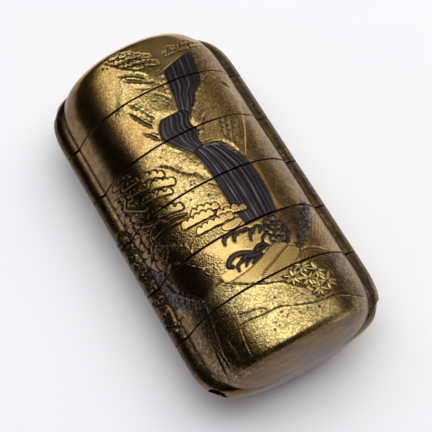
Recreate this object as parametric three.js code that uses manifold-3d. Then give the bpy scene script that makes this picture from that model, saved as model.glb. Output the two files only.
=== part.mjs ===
// Inro: a small lens-sectioned stacking case of a lid and five trays, carried on a cord.
// Frame, in millimetres: it lies on its back. +Y runs from the base to the lid, X across the picture face,
// +Z out of the picture face. The origin is on the floor under the middle of the length.
import * as THREE from "three";
import { mergeVertices } from "three/addons/utils/BufferGeometryUtils.js";
import Module from "manifold-3d";

// ---- outer form
const LENGTH = 94.6; // base crown to lid crown
const HALF = LENGTH / 2;
const FACE_HALF_WIDTH = 22.55; // the lens, to where its front and back would meet
const FACE_HALF_DEPTH = 15.57; // the lens, from its middle plane to its crown
const FACE_POWER_X = 2.24; // fullness of the lens toward the sides
const FACE_POWER_Z = 1.8; // and toward the crown
const RIB_CENTRE_X = 19.47; // the half-round rib down each side, which carries the cord
const RIB_REACH = 5.95; // from that centre to the rib's outermost line
const RIB_HALF_DEPTH = 3.47;
const GROOVE_X = 21.97; // where the lens meets the rib
const HALF_WIDTH = RIB_CENTRE_X + RIB_REACH;
const REST_HALF = 4.5; // half width of the flat strip the case lies on

// ---- ends: a shallow dome with a rounded rim
const PLAN_FALL = 19.0; // length over which the outline narrows, seen from the front
const PLAN_POWER = 3.9;
const DOME_RADIUS = 43.0; // dome seen from the side
const RIM_RADIUS = 2.5;

// ---- stack
const SEAM_TOP = 29.6; // under the lid
const PITCH = 14.4; // from seam to seam
const TRAYS = 5;
const SEAM_GAP = 0.24;
const RISER = 4.5; // height of the inner rim each tray stands up into the piece above
const RISER_HALF_WIDTH = 18.9;
const RISER_HALF_DEPTH = 13.97;
const RISER_WALL = 1.0;
const SLIP = 0.3; // clearance round a riser
const HEADROOM = 0.4; // clearance over a riser
const FLOOR = 1.0; // thickness of a tray's floor
const INNER_POWER_X = 2.6;
const INNER_POWER_Z = 2.0;
const END_WALL = 1.7; // lid roof and lowest floor
const INNER_PLAN_FALL = 12.0;
const INNER_PLAN_POWER = 3.4;
const INNER_RIM_RADIUS = 1.5;

// ---- cord channels, one through each rib
const CHANNEL_X = 22.0;
const CHANNEL_RADIUS = 1.9;
const CHANNEL_SIDES = 12;

// ---- raised lacquer, height over the ground
const RAISE = { fall: 0.14, stream: 0.14, bank: 0.2, rock: 0.28, mound: 0.28, foam: 0.34, leaf: 0.34, pad: 0.4 };

// The lens sampled at x = 4.5 drops a little below its crown: the floor touches it there.
const lensDepth = (x) =>
  FACE_HALF_DEPTH * Math.pow(1 - Math.pow(Math.abs(x) / FACE_HALF_WIDTH, FACE_POWER_X), 1 / FACE_POWER_Z);
const AXIS_Z = lensDepth(REST_HALF);

const wasm = await Module();
wasm.setup();

function solid(geometry) {
  const bare = geometry.clone();
  bare.deleteAttribute("normal");
  bare.deleteAttribute("uv");
  const merged = mergeVertices(bare, 1e-4);
  return new wasm.Manifold(
    new wasm.Mesh({
      numProp: 3,
      vertProperties: new Float32Array(merged.attributes.position.array),
      triVerts: new Uint32Array(merged.index.array),
    }),
  );
}

// ---- sections, as rings of [x, z] about the middle plane, anticlockwise seen from the base (-Y)
const LENS_STEPS = 8;
const RIB_STEPS = 4;

// One quarter, crown to rib: lens points bunched toward the groove, then the rib's arc. `grow` is a raised skin.
function outerQuarter(grow, crownX) {
  const points = [];
  for (let i = 0; i <= LENS_STEPS; i++) {
    const x = crownX + (GROOVE_X - crownX) * Math.sin(((i / LENS_STEPS) * Math.PI) / 2);
    const share = Math.pow(x / (FACE_HALF_WIDTH + grow), FACE_POWER_X);
    points.push([x, (FACE_HALF_DEPTH + grow) * Math.pow(1 - share, 1 / FACE_POWER_Z)]);
  }
  const start = Math.acos((GROOVE_X - RIB_CENTRE_X) / RIB_REACH);
  for (let i = 1; i <= RIB_STEPS; i++) {
    const angle = start * (1 - i / RIB_STEPS);
    points.push([RIB_CENTRE_X + RIB_REACH * Math.cos(angle), RIB_HALF_DEPTH * Math.sin(angle)]);
  }
  return points;
}

// The front has a point on its crown; the back starts at the edge of the rest strip, which leaves that strip flat.
function outerRing(grow = 0) {
  const front = outerQuarter(grow, 0);
  const back = outerQuarter(grow, REST_HALF);
  const ring = [];
  for (const [x, z] of back) ring.push([x, -z]);
  for (const [x, z] of [...front].reverse().slice(1)) ring.push([x, z]);
  for (const [x, z] of front.slice(1)) ring.push([-x, z]);
  for (const [x, z] of [...back].reverse().slice(1)) ring.push([-x, -z]);
  return ring;
}

function innerRing(halfWidth, halfDepth, steps = 7) {
  const ring = [];
  for (let i = 0; i < 4 * steps; i++) {
    const a = (i / (4 * steps)) * 2 * Math.PI - Math.PI / 2;
    const c = Math.cos(a);
    const s = Math.sin(a);
    ring.push([
      halfWidth * Math.sign(c) * Math.pow(Math.abs(c), 2 / INNER_POWER_X),
      halfDepth * Math.sign(s) * Math.pow(Math.abs(s), 2 / INNER_POWER_Z),
    ]);
  }
  return ring;
}

// ---- end profiles: share of the full width and depth at distance s in from the crown of an end
const planShare = (s, fall, power) =>
  Math.pow(1 - Math.pow(Math.max(0, 1 - s / fall), power), 1 / power);

function sideShare(s, radius, rim, halfDepth) {
  const sine = (halfDepth - rim) / (radius - rim);
  const cosine = Math.sqrt(1 - sine * sine);
  const join = radius * (1 - cosine);
  const full = join + rim * cosine;
  if (s >= full) return 1;
  if (s <= join) return Math.sqrt(radius * radius - (radius - s) ** 2) / halfDepth;
  const left = (full - s) / rim;
  return (halfDepth - rim + rim * Math.sqrt(1 - left * left)) / halfDepth;
}

const END_STEPS = [0.15, 0.7, 1.5, 2.4, 3.1, 3.9, 4.7, 7, 11, 19];
const outerEnd = { fall: PLAN_FALL, power: PLAN_POWER, radius: DOME_RADIUS, rim: RIM_RADIUS, depth: FACE_HALF_DEPTH };
const innerEnd = {
  fall: INNER_PLAN_FALL,
  power: INNER_PLAN_POWER,
  radius: DOME_RADIUS - END_WALL,
  rim: INNER_RIM_RADIUS,
  depth: RISER_HALF_DEPTH,
};
const INNER_END_STEPS = [0.2, 1.1, 2.3, 3.4, 6, 12];

function shares(s, end) {
  return [planShare(s, end.fall, end.power), sideShare(s, end.radius, end.rim, end.depth)];
}

// Skins `ring` along Y. Each station is [y, share of width, share of depth]; a flat or pole cap closes each end.
function loft(ring, stations) {
  const positions = [];
  const indices = [];
  const n = ring.length;
  for (const [y, across, deep] of stations)
    for (const [x, z] of ring) positions.push(x * across, y, AXIS_Z + z * deep);
  for (let k = 0; k + 1 < stations.length; k++)
    for (let i = 0; i < n; i++) {
      const a = k * n + i;
      const b = k * n + ((i + 1) % n);
      indices.push(a, b + n, b, a, a + n, b + n);
    }
  const low = positions.length / 3;
  const first = stations[0];
  const last = stations[stations.length - 1];
  positions.push(0, first[3] ?? first[0], AXIS_Z, 0, last[3] ?? last[0], AXIS_Z);
  const top = (stations.length - 1) * n;
  for (let i = 0; i < n; i++) {
    const j = (i + 1) % n;
    indices.push(low, i, j, low + 1, top + j, top + i);
  }
  const geometry = new THREE.BufferGeometry();
  geometry.setAttribute("position", new THREE.Float32BufferAttribute(positions, 3));
  geometry.setIndex(indices);
  return solid(geometry);
}

function bodySolid(grow) {
  const stations = [];
  END_STEPS.forEach((s, i) => stations.push([-HALF + s, ...shares(s, outerEnd), ...(i ? [] : [-HALF])]));
  [...END_STEPS].reverse().forEach((s) => stations.push([HALF - s, ...shares(s, outerEnd)]));
  stations[stations.length - 1].push(HALF);
  return loft(outerRing(grow), stations);
}

const prism = (ring, y0, y1) => loft(ring, [[y0, 1, 1], [y1, 1, 1]]);

// A hollow that is open at yOpen and domed at yEnd.
function domedHollow(ring, yOpen, yEnd) {
  const side = Math.sign(yEnd - yOpen);
  const stations = [[yOpen, 1, 1]];
  [...INNER_END_STEPS].reverse().forEach((s) => stations.push([yEnd - side * s, ...shares(s, innerEnd)]));
  stations[stations.length - 1].push(yEnd);
  return loft(ring, side > 0 ? stations : stations.reverse());
}

function slab(y0, y1) {
  const size = 4 * HALF;
  const box = new THREE.BoxGeometry(size, y1 - y0, size);
  box.translate(0, (y0 + y1) / 2, AXIS_Z);
  return solid(box);
}

function channels() {
  const made = [-1, 1].map((side) => {
    const tube = new THREE.CylinderGeometry(CHANNEL_RADIUS, CHANNEL_RADIUS, LENGTH + 8, CHANNEL_SIDES);
    tube.rotateY(Math.PI / CHANNEL_SIDES);
    tube.translate(side * CHANNEL_X, 0, AXIS_Z);
    return solid(tube);
  });
  return made[0].add(made[1]);
}

// ---- outlines of the raised picture, [x, y] on the face
const smooth = (anchors, count) =>
  new THREE.SplineCurve(anchors.map(([x, y]) => new THREE.Vector2(x, y)))
    .getPoints(count)
    .map((p) => [p.x, p.y]);

// A sheet between a left edge and a right edge, both read downward.
const sheet = (left, right, count = 7) => [...smooth(left, count), ...smooth(right, count).reverse()];

// A flat-bottomed cushion of needles with `lobes` scallops along its top.
function pad(cx, cy, width, height, lobes) {
  const points = [];
  const steps = 3;
  for (let k = 0; k < lobes; k++)
    for (let i = 0; i < steps; i++) {
      const t = (k + i / steps) / lobes;
      const arch = Math.sin(Math.PI * t);
      const scallop = Math.sin((Math.PI * i) / steps);
      points.push([cx - width / 2 + width * t, cy + height * (0.72 * Math.sqrt(arch) + 0.28 * scallop)]);
    }
  points.push([cx + width / 2, cy], [cx + width * 0.2, cy - height * 0.22], [cx - width * 0.25, cy - height * 0.18]);
  return points;
}

// A hook of foam: a round head with a tail that runs down to one side.
function curl(cx, cy, radius, side) {
  const points = [];
  for (let i = 0; i < 8; i++) {
    const a = ((i / 8) * 1.5 + 0.1) * Math.PI;
    points.push([cx + side * radius * Math.cos(a), cy + radius * Math.sin(a)]);
  }
  points.push([cx + side * radius * 1.3, cy - radius * 1.1]);
  return points;
}

// A bamboo-grass leaf from its stalk (x, y) outward at `angle` degrees.
function leaf(x, y, angle, length, width) {
  const a = THREE.MathUtils.degToRad(angle);
  const at = (along, off) => [
    x + along * length * Math.cos(a) - off * width * Math.sin(a),
    y + along * length * Math.sin(a) + off * width * Math.cos(a),
  ];
  return [at(0, 0), at(0.35, -0.5), at(0.7, -0.36), at(1, 0), at(0.7, 0.36), at(0.35, 0.5)];
}

function picture() {
  const shapes = [];
  const put = (kind, outline) => shapes.push({ height: RAISE[kind], outline });

  // three drops of the waterfall
  put("fall", sheet([[4.2, 32.8], [3.3, 28], [3, 20.6]], [[13.4, 35.8], [11.8, 27.4], [7, 23.6], [4.8, 20.4]]));
  put("fall", sheet([[-2.6, 20.4], [-5, 16.4], [-3.4, 14], [0.6, 9.4]], [[4.2, 20.5], [3.8, 15], [2.8, 12.4], [3.4, 9]]));
  put("fall", sheet([[0.6, 9.6], [0.9, 2], [1.8, -13.9]], [[6.4, 9.6], [10.4, 3], [11.3, -5], [10.2, -13.9]]));

  // cliffs: left of the first drop, right of the falls, and the far one behind
  put("rock", [[-10, 29.4], [-5.4, 37.2], [-1, 36.2], [4.2, 32.9], [3.3, 28], [3, 20.6], [-2.6, 20.6], [-5.1, 18.4], [-8.6, 22.6]]);
  put("rock", [[-9.6, 12.2], [-5, 16.2], [-3.3, 13.8], [0.6, 9.2], [0.8, 1.2], [-1.2, 3.6], [-5.2, 6.2]]);
  put("rock", [
    [14.6, 28.2], [12, 26.9], [8.4, 24.5], [7, 22.6], [4.9, 20.3], [4, 17.2], [5.4, 14.6], [3, 12.6], [3.2, 10.4], [6.8, 9.9],
    [9.6, 7], [10.9, 2.6], [13.4, 6.4], [16.4, 12.4], [18.6, 19.2], [18.2, 24.2],
  ]);
  put("rock", [[13.6, 35.8], [12.6, 31.4], [12.1, 27.4], [14.7, 28.6], [18.6, 24.8], [20.4, 31], [20, 38.4], [17, 38.6]]);

  // pine: rows of cushions stepping down to the right, the lowest across the fall
  const rows = [
    [-17.6, 12.4, 5.6], [-12.4, 9.6, 6.4], [-17.4, 7.2, 5.8], [-10.6, 4.4, 6.4], [-16.8, 2.4, 5.6],
    [-11.8, -0.6, 6.8], [-16.6, -3.4, 6], [-7.6, -4.6, 7.2], [-12.6, -7, 6.4], [-5.6, -8, 6.6], [0, -10, 9.6],
  ];
  for (const [x, y, width] of rows) put("pad", pad(x, y, width, 0.27 * width, Math.round(width / 1.4)));
  put("mound", sheet([[-19.8, 10.2], [-18.2, 4], [-19, -4], [-18.8, -11]], [[-18.6, 10.6], [-16.9, 4], [-17.6, -4], [-16.6, -11]]));

  // a dark wooded mound under the pine, and one on the far right
  put("mound", [[-20, -15], [-18.6, -11.6], [-15, -13.2], [-12, -17], [-10.4, -22.6], [-15.6, -24], [-19.6, -21.8]]);
  put("mound", [[20, -13], [18.2, -13.6], [15.4, -17.6], [11.6, -21.6], [15, -21], [19.4, -19.4]]);

  // foam at the foot of the fall
  const foam = [[-3.8, -15.8, 1], [-1.6, -16.2, 1], [3.2, -17, 1], [5.6, -16.2, -1], [8, -16.8, -1], [4.6, -19.2, 1], [7, -19, -1], [9.4, -19.6, -1], [-5.2, -21.2, 1], [-2.8, -21, 1]];
  for (const [x, y, side] of foam) put("foam", curl(x, y, 1.15, side));

  // two swells of running water, then the near bank with its second terrace
  put("stream", sheet([[-9, -24.6], [-1, -22.8], [5.4, -20.6], [9.4, -24.4]], [[-8, -25.4], [-4.6, -27.6], [0, -29.4], [6, -29.4]]));
  put("stream", sheet([[8.6, -23.8], [13, -23.6], [17.6, -25.6]], [[6.4, -28.8], [12, -29.6], [17, -28.6]]));
  put("bank", sheet([[-16, -24.2], [-10.4, -23], [-5, -27.2], [1.8, -29.8], [5.6, -34.6], [15.6, -39.4]], [[-14, -31.6], [-9, -32.8], [-4.4, -34.4], [2, -37.2], [7, -38.6], [15, -40.2]]));

  // bamboo grass on the bank: three tufts of leaves
  const tufts = [[4.6, -31], [8.6, -33.2], [9.8, -36.2]];
  tufts.forEach(([x, y], t) => {
    for (let i = 0; i < 4; i++) put("leaf", leaf(x, y, -150 + 12 * t + 46 * i, 3.2, 1.05));
  });
  return shapes;
}

const skins = new Map();
function raised({ height, outline }) {
  const shape = new THREE.Shape(outline.map(([x, y]) => new THREE.Vector2(x, y)));
  const extruded = new THREE.ExtrudeGeometry(shape, { depth: FACE_HALF_DEPTH + 2, bevelEnabled: false, steps: 1 });
  extruded.translate(0, 0, AXIS_Z + 2);
  if (!skins.has(height)) skins.set(height, bodySolid(height));
  return solid(extruded).intersect(skins.get(height));
}

// ---- pieces
const body = bodySolid(0);
const tubes = channels();
const relief = picture().map(raised).reduce((sum, shape) => sum.add(shape));
const decorated = body.add(relief).subtract(tubes);

const riserRing = innerRing(RISER_HALF_WIDTH, RISER_HALF_DEPTH);
const recessRing = innerRing(RISER_HALF_WIDTH + SLIP, RISER_HALF_DEPTH + SLIP);
const hollowRing = innerRing(RISER_HALF_WIDTH - RISER_WALL, RISER_HALF_DEPTH - RISER_WALL);

const lidSolid = () =>
  decorated
    .intersect(slab(SEAM_TOP + SEAM_GAP / 2, HALF + 5))
    .subtract(domedHollow(recessRing, SEAM_TOP - 1, HALF - END_WALL));

function traySolid(number) {
  const top = SEAM_TOP - PITCH * (number - 1);
  const lowest = number === TRAYS;
  const bottom = lowest ? -HALF - 5 : top - PITCH;
  const riser = prism(riserRing, top - 2, top + RISER);
  const shell = decorated.intersect(slab(bottom + SEAM_GAP / 2, top - SEAM_GAP / 2)).add(riser);
  if (lowest) return shell.subtract(domedHollow(hollowRing, top + RISER + 1, -HALF + END_WALL));
  const ceiling = bottom + RISER + HEADROOM;
  return shell
    .subtract(prism(recessRing, bottom - 1, ceiling))
    .subtract(prism(hollowRing, ceiling + FLOOR, top + RISER + 1));
}

function mesh(name, made, colour) {
  const { vertProperties, triVerts, numProp } = made.getMesh();
  const positions = new Float32Array((vertProperties.length / numProp) * 3);
  for (let i = 0; i < positions.length / 3; i++)
    positions.set(vertProperties.subarray(i * numProp, i * numProp + 3), i * 3);
  const geometry = new THREE.BufferGeometry();
  geometry.setAttribute("position", new THREE.BufferAttribute(positions, 3));
  geometry.setIndex(new THREE.BufferAttribute(triVerts, 1));
  geometry.computeVertexNormals();
  const item = new THREE.Mesh(
    geometry,
    new THREE.MeshStandardMaterial({ color: colour, metalness: 0.7, roughness: 0.35 }),
  );
  item.name = name;
  return item;
}

const inro = new THREE.Group();
inro.name = "inro";
inro.add(mesh("lid", lidSolid(), "#b8862f"));
for (let number = 1; number <= TRAYS; number++)
  inro.add(mesh(`tray_${number}`, traySolid(number), number % 2 ? "#a8772b" : "#b28030"));

export default inro;
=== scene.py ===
"""Inro: a lens-sectioned lacquer case of a lid and five trays, lying on its back, in raised gold lacquer.

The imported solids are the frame. Each of the six pieces is remade here as one closed mesh with the same walls,
risers and cord channels, and with the fine relief of its picture face worked into the skin. Sizes are in
millimetres, in the part's own frame: +Y from base to lid, X across the face, +Z out of the face.
"""

import logging
import math
from dataclasses import dataclass, field
from enum import Enum
from typing import Any, Iterable, Sequence

import bpy
import numpy as np
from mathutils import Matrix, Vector


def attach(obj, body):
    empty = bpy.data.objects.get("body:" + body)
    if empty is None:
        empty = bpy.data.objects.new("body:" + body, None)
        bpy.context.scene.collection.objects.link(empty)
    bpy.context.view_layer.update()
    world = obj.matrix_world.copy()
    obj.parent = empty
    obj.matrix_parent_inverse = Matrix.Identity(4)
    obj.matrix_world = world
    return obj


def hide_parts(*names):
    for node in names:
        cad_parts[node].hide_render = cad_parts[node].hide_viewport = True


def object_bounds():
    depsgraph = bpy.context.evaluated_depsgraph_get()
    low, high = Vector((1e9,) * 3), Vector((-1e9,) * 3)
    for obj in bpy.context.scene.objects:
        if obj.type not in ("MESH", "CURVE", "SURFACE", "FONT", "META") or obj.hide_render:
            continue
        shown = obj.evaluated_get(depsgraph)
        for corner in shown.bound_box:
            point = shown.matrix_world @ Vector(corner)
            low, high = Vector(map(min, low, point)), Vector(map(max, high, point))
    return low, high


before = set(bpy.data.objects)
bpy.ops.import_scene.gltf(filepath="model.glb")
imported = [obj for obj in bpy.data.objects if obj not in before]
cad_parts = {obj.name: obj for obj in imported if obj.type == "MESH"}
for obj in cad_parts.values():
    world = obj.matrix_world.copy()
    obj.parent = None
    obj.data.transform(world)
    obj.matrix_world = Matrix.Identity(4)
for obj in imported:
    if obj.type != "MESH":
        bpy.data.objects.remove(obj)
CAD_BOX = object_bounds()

MM = 0.001
SEED = 11
LOG = logging.getLogger("inro")
Points = Sequence[tuple[float, float]]
Tree = bpy.types.NodeTree
Socket = bpy.types.NodeSocket
Dice = np.random.Generator


# ---- colour and nodes


def linear(hex_code: str) -> tuple[float, float, float, float]:
    """Turns an sRGB hex colour to linear light.

    Args:
        hex_code: Six hex digits with a leading hash.

    Returns:
        Red, green, blue and an alpha of one.
    """
    shares = [int(hex_code[i : i + 2], 16) / 255 for i in (1, 3, 5)]
    red, green, blue = (c / 12.92 if c <= 0.04045 else ((c + 0.055) / 1.055) ** 2.4 for c in shares)
    return red, green, blue, 1.0


def add_node(
    tree: Tree, kind: str, inputs: dict[str | int, Any] | None = None, **settings: Any
) -> bpy.types.Node:
    """Adds one node with its settings and links.

    Args:
        tree: The node tree that takes it.
        kind: The node's type without its ShaderNode, such as Mix.
        inputs: A value or an output socket for each input, by name or number.
        **settings: Properties of the node itself.

    Returns:
        The new node.
    """
    node = tree.nodes.new(f"ShaderNode{kind}")
    for name, value in settings.items():
        setattr(node, name, value)
    for key, value in (inputs or {}).items():
        if isinstance(value, Socket):
            tree.links.new(value, node.inputs[key])
        else:
            node.inputs[key].default_value = value
    return node


def blank_material(name: str) -> tuple[bpy.types.Material, Tree]:
    """Makes a node material with nothing in it yet.

    Args:
        name: Name of the material.

    Returns:
        The material and its node tree.
    """
    material = bpy.data.materials.new(name)
    material.use_nodes = True
    material.node_tree.nodes.clear()
    return material, material.node_tree


# ---- form


@dataclass(frozen=True)
class EndProfile:
    """A domed end with a rounded rim: how the section shrinks over the last stretch to the crown.

    Attributes:
        fall: Length over which the outline narrows, seen from the front.
        power: Squareness of that narrowing.
        radius: Radius of the dome, seen from the side.
        rim: Radius of the rim.
        depth: Half depth of the full section.
    """

    fall: float
    power: float
    radius: float
    rim: float
    depth: float

    def plan_share(self, s: float) -> float:
        """Share of the full width at distance s in from the crown."""
        return (1 - max(0.0, 1 - s / self.fall) ** self.power) ** (1 / self.power)

    def rim_span(self) -> tuple[float, float]:
        """Distances from the crown at which the rim starts and ends.

        Returns:
            The start and the end.
        """
        sine = (self.depth - self.rim) / (self.radius - self.rim)
        cosine = math.sqrt(1 - sine * sine)
        start = self.radius * (1 - cosine)
        return start, start + self.rim * cosine

    def side_share(self, s: float) -> float:
        """Share of the full depth at distance s in from the crown.

        Args:
            s: Distance in from the crown.

        Returns:
            The share, from 0 to 1.
        """
        start, full = self.rim_span()
        if s >= full:
            return 1.0
        if s <= start:
            return math.sqrt(self.radius**2 - (self.radius - s) ** 2) / self.depth
        left = (full - s) / self.rim
        return (self.depth - self.rim + self.rim * math.sqrt(1 - left * left)) / self.depth

    def stations(self, dome_steps: int, rim_steps: int) -> list[float]:
        """Distances from the crown, evenly spaced round the dome and then round the rim.

        Args:
            dome_steps: Steps over the dome.
            rim_steps: Steps over the rim.

        Returns:
            Distances in from the crown, rising, from just inside it to where the section is full.
        """
        start, full = self.rim_span()
        reach = math.acos(1 - start / self.radius)
        turn = math.asin((full - start) / self.rim)
        dome = [self.radius * (1 - math.cos(reach * (i + 1) / dome_steps)) for i in range(dome_steps)]
        rim = [full - self.rim * math.sin(turn * (1 - (i + 1) / rim_steps)) for i in range(rim_steps)]
        return dome + rim


@dataclass(frozen=True)
class CaseForm:
    """Sizes of the whole case, shared by its six pieces.

    Attributes:
        length: Base crown to lid crown.
        face_half_width: Half width at which the lens front would meet its back.
        face_half_depth: Middle plane to the crown of the lens.
        face_power_x: Fullness of the lens toward the sides.
        face_power_z: Fullness of the lens toward the crown.
        rib_centre: Centre of the half-round rib down each side.
        rib_reach: From that centre to the rib's outermost line.
        rib_half_depth: Half depth of the rib.
        groove: Where the lens meets the rib.
        rest_half: Half width of the flat strip that the case lies on.
        seam_top: The seam under the lid.
        pitch: From seam to seam.
        trays: Number of trays.
        seam_gap: Open gap at a seam.
        riser: Height of the inner rim that stands up into the piece above.
        riser_half_width: Half width outside that rim.
        riser_half_depth: Half depth outside that rim.
        riser_wall: Wall of that rim.
        slip: Clearance round the rim in the piece above it.
        headroom: Clearance over the rim.
        floor: Thickness of a tray's floor.
        inner_power_x: Fullness of the hollow toward the sides.
        inner_power_z: Fullness of the hollow toward face and back.
        end_wall: Thickness of the two ends.
        channel_x: Centre of each cord channel.
        channel_radius: Radius of each cord channel.
    """

    length: float = 94.6
    face_half_width: float = 22.55
    face_half_depth: float = 15.57
    face_power_x: float = 2.24
    face_power_z: float = 1.8
    rib_centre: float = 19.47
    rib_reach: float = 5.95
    rib_half_depth: float = 3.47
    groove: float = 21.97
    rest_half: float = 4.5
    seam_top: float = 29.6
    pitch: float = 14.4
    trays: int = 5
    seam_gap: float = 0.24
    riser: float = 4.5
    riser_half_width: float = 18.9
    riser_half_depth: float = 13.97
    riser_wall: float = 1.0
    slip: float = 0.3
    headroom: float = 0.4
    floor: float = 1.0
    inner_power_x: float = 2.6
    inner_power_z: float = 2.0
    end_wall: float = 1.7
    channel_x: float = 22.0
    channel_radius: float = 1.9

    @property
    def half(self) -> float:
        """Half the length."""
        return self.length / 2

    @property
    def outer_end(self) -> EndProfile:
        """The outer dome and rim."""
        return EndProfile(fall=19.0, power=3.9, radius=43.0, rim=2.5, depth=self.face_half_depth)

    @property
    def inner_end(self) -> EndProfile:
        """The hollow's dome and rim."""
        return EndProfile(
            fall=12.0, power=3.4, radius=43.0 - self.end_wall, rim=1.5, depth=self.riser_half_depth
        )

    @property
    def axis_z(self) -> float:
        """Height of the middle plane over the floor."""
        return float(self.lens_depth(np.array(self.rest_half)))

    def lens_depth(self, x: np.ndarray) -> np.ndarray:
        """Depth of the lens from its middle plane at x."""
        share = np.abs(x) / self.face_half_width
        return self.face_half_depth * (1 - share**self.face_power_x) ** (1 / self.face_power_z)

    def lens_arc(self, start: float, step: float) -> np.ndarray:
        """Points of one quarter of the lens from x = start to the groove, evenly spaced along its arc.

        Args:
            start: Where the quarter starts.
            step: Spacing along the arc.

        Returns:
            Rows of (x, depth).
        """
        x = start + (self.groove - start) * np.sin(np.linspace(0, math.pi / 2, 1200))
        z = self.lens_depth(x)
        run = np.concatenate([[0.0], np.cumsum(np.hypot(np.diff(x), np.diff(z)))])
        even = np.linspace(0, run[-1], round(run[-1] / step) + 1)
        return np.column_stack([np.interp(even, run, x), np.interp(even, run, z)])

    def rib_arc(self, step: float) -> np.ndarray:
        """Points of the rib from just past the groove to its outermost line, as rows of (x, depth).

        Args:
            step: Spacing along the arc.

        Returns:
            Rows of (x, depth).
        """
        start = math.acos((self.groove - self.rib_centre) / self.rib_reach)
        angle = np.linspace(start, 0, round(self.rib_reach * start / step) + 1)[1:]
        return np.column_stack(
            [self.rib_centre + self.rib_reach * np.cos(angle), self.rib_half_depth * np.sin(angle)]
        )

    def outer_ring(self, front_step: float, back_step: float) -> np.ndarray:
        """The outer section as a closed ring, anticlockwise seen from the base.

        Args:
            front_step: Spacing over the picture face.
            back_step: Spacing over the plain back.

        Returns:
            Rows of (x, z) about the middle plane.
        """
        rib = self.rib_arc(0.2)
        front = np.vstack([self.lens_arc(0.0, front_step), rib])
        back = np.vstack([self.lens_arc(self.rest_half, back_step), rib])
        mirror = np.array([-1.0, 1.0])
        return np.vstack(
            [back * (1, -1), front[::-1][1:], front[1:] * mirror, (back[::-1] * (1, -1) * mirror)[1:]]
        )

    def inner_ring(self, half_width: float, half_depth: float, steps: int = 96) -> np.ndarray:
        """A superellipse section for a riser or a hollow, as rows of (x, z).

        Args:
            half_width: Half its width.
            half_depth: Half its depth.
            steps: Points round it.

        Returns:
            Rows of (x, z) about the middle plane.
        """
        angle = np.arange(steps) / steps * 2 * math.pi - math.pi / 2
        c, s = np.cos(angle), np.sin(angle)
        return np.column_stack(
            [
                half_width * np.sign(c) * np.abs(c) ** (2 / self.inner_power_x),
                half_depth * np.sign(s) * np.abs(s) ** (2 / self.inner_power_z),
            ]
        )

    def seam(self, number: int) -> float:
        """Height along Y of the seam above tray `number`, counted from one under the lid."""
        return self.seam_top - self.pitch * (number - 1)


# ---- the picture plane


class Layer(Enum):
    """What the picture plane holds at each spot."""

    HEIGHT = "height"
    FALL = "fall"
    SILVER = "silver"
    # dark lacquer of cuts and chips, and also the painted shade in the groove and on the ribs' outer side
    INK_AND_SHADE = "ink"
    GRAIN = "grain"
    # gold tone: the picture's own tones, with painted shade down the sides and ribs and painted highlights on
    # bead crowns
    TONE = "tone"


def spline(anchors: Points, step: float = 0.3) -> np.ndarray:
    """A smooth line through anchors.

    Args:
        anchors: Points that the line passes through.
        step: Spacing of the points returned.

    Returns:
        Rows of (x, y) along the line.
    """
    p = np.array(anchors, float)
    if len(p) == 2:
        count = max(1, round(float(np.linalg.norm(p[1] - p[0])) / step))
        return p[0] + (p[1] - p[0]) * np.linspace(0, 1, count + 1)[:, None]
    padded = np.vstack([2 * p[0] - p[1], p, 2 * p[-1] - p[-2]])
    made = [p[:1]]
    for a, b, c, d in zip(padded, padded[1:], padded[2:], padded[3:]):
        count = max(1, round(float(np.linalg.norm(c - b)) / step))
        t = (np.arange(1, count + 1) / count)[:, None]
        made.append(
            0.5 * (
                2 * b + (c - a) * t + (2 * a - 5 * b + 4 * c - d) * t**2 + (3 * b - a - 3 * c + d) * t**3
            )
        )
    return np.vstack(made)


def closed_spline(anchors: Points) -> np.ndarray:
    """A smooth closed line through anchors, as rows of (x, y)."""
    return spline([*anchors, anchors[0]])[:-1]


def ease(x: np.ndarray) -> np.ndarray:
    """A smooth step from 0 at 0 to 1 at 1."""
    x = np.clip(x, 0, 1)
    return x * x * (3 - 2 * x)


@dataclass
class Window:
    """A patch of the plate, with the place of each cell.

    Attributes:
        rows: Rows of the plate in the patch.
        cols: Columns of the plate in the patch.
        x: X of each cell.
        y: Y of each cell.
    """

    rows: slice
    cols: slice
    x: np.ndarray
    y: np.ndarray


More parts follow.
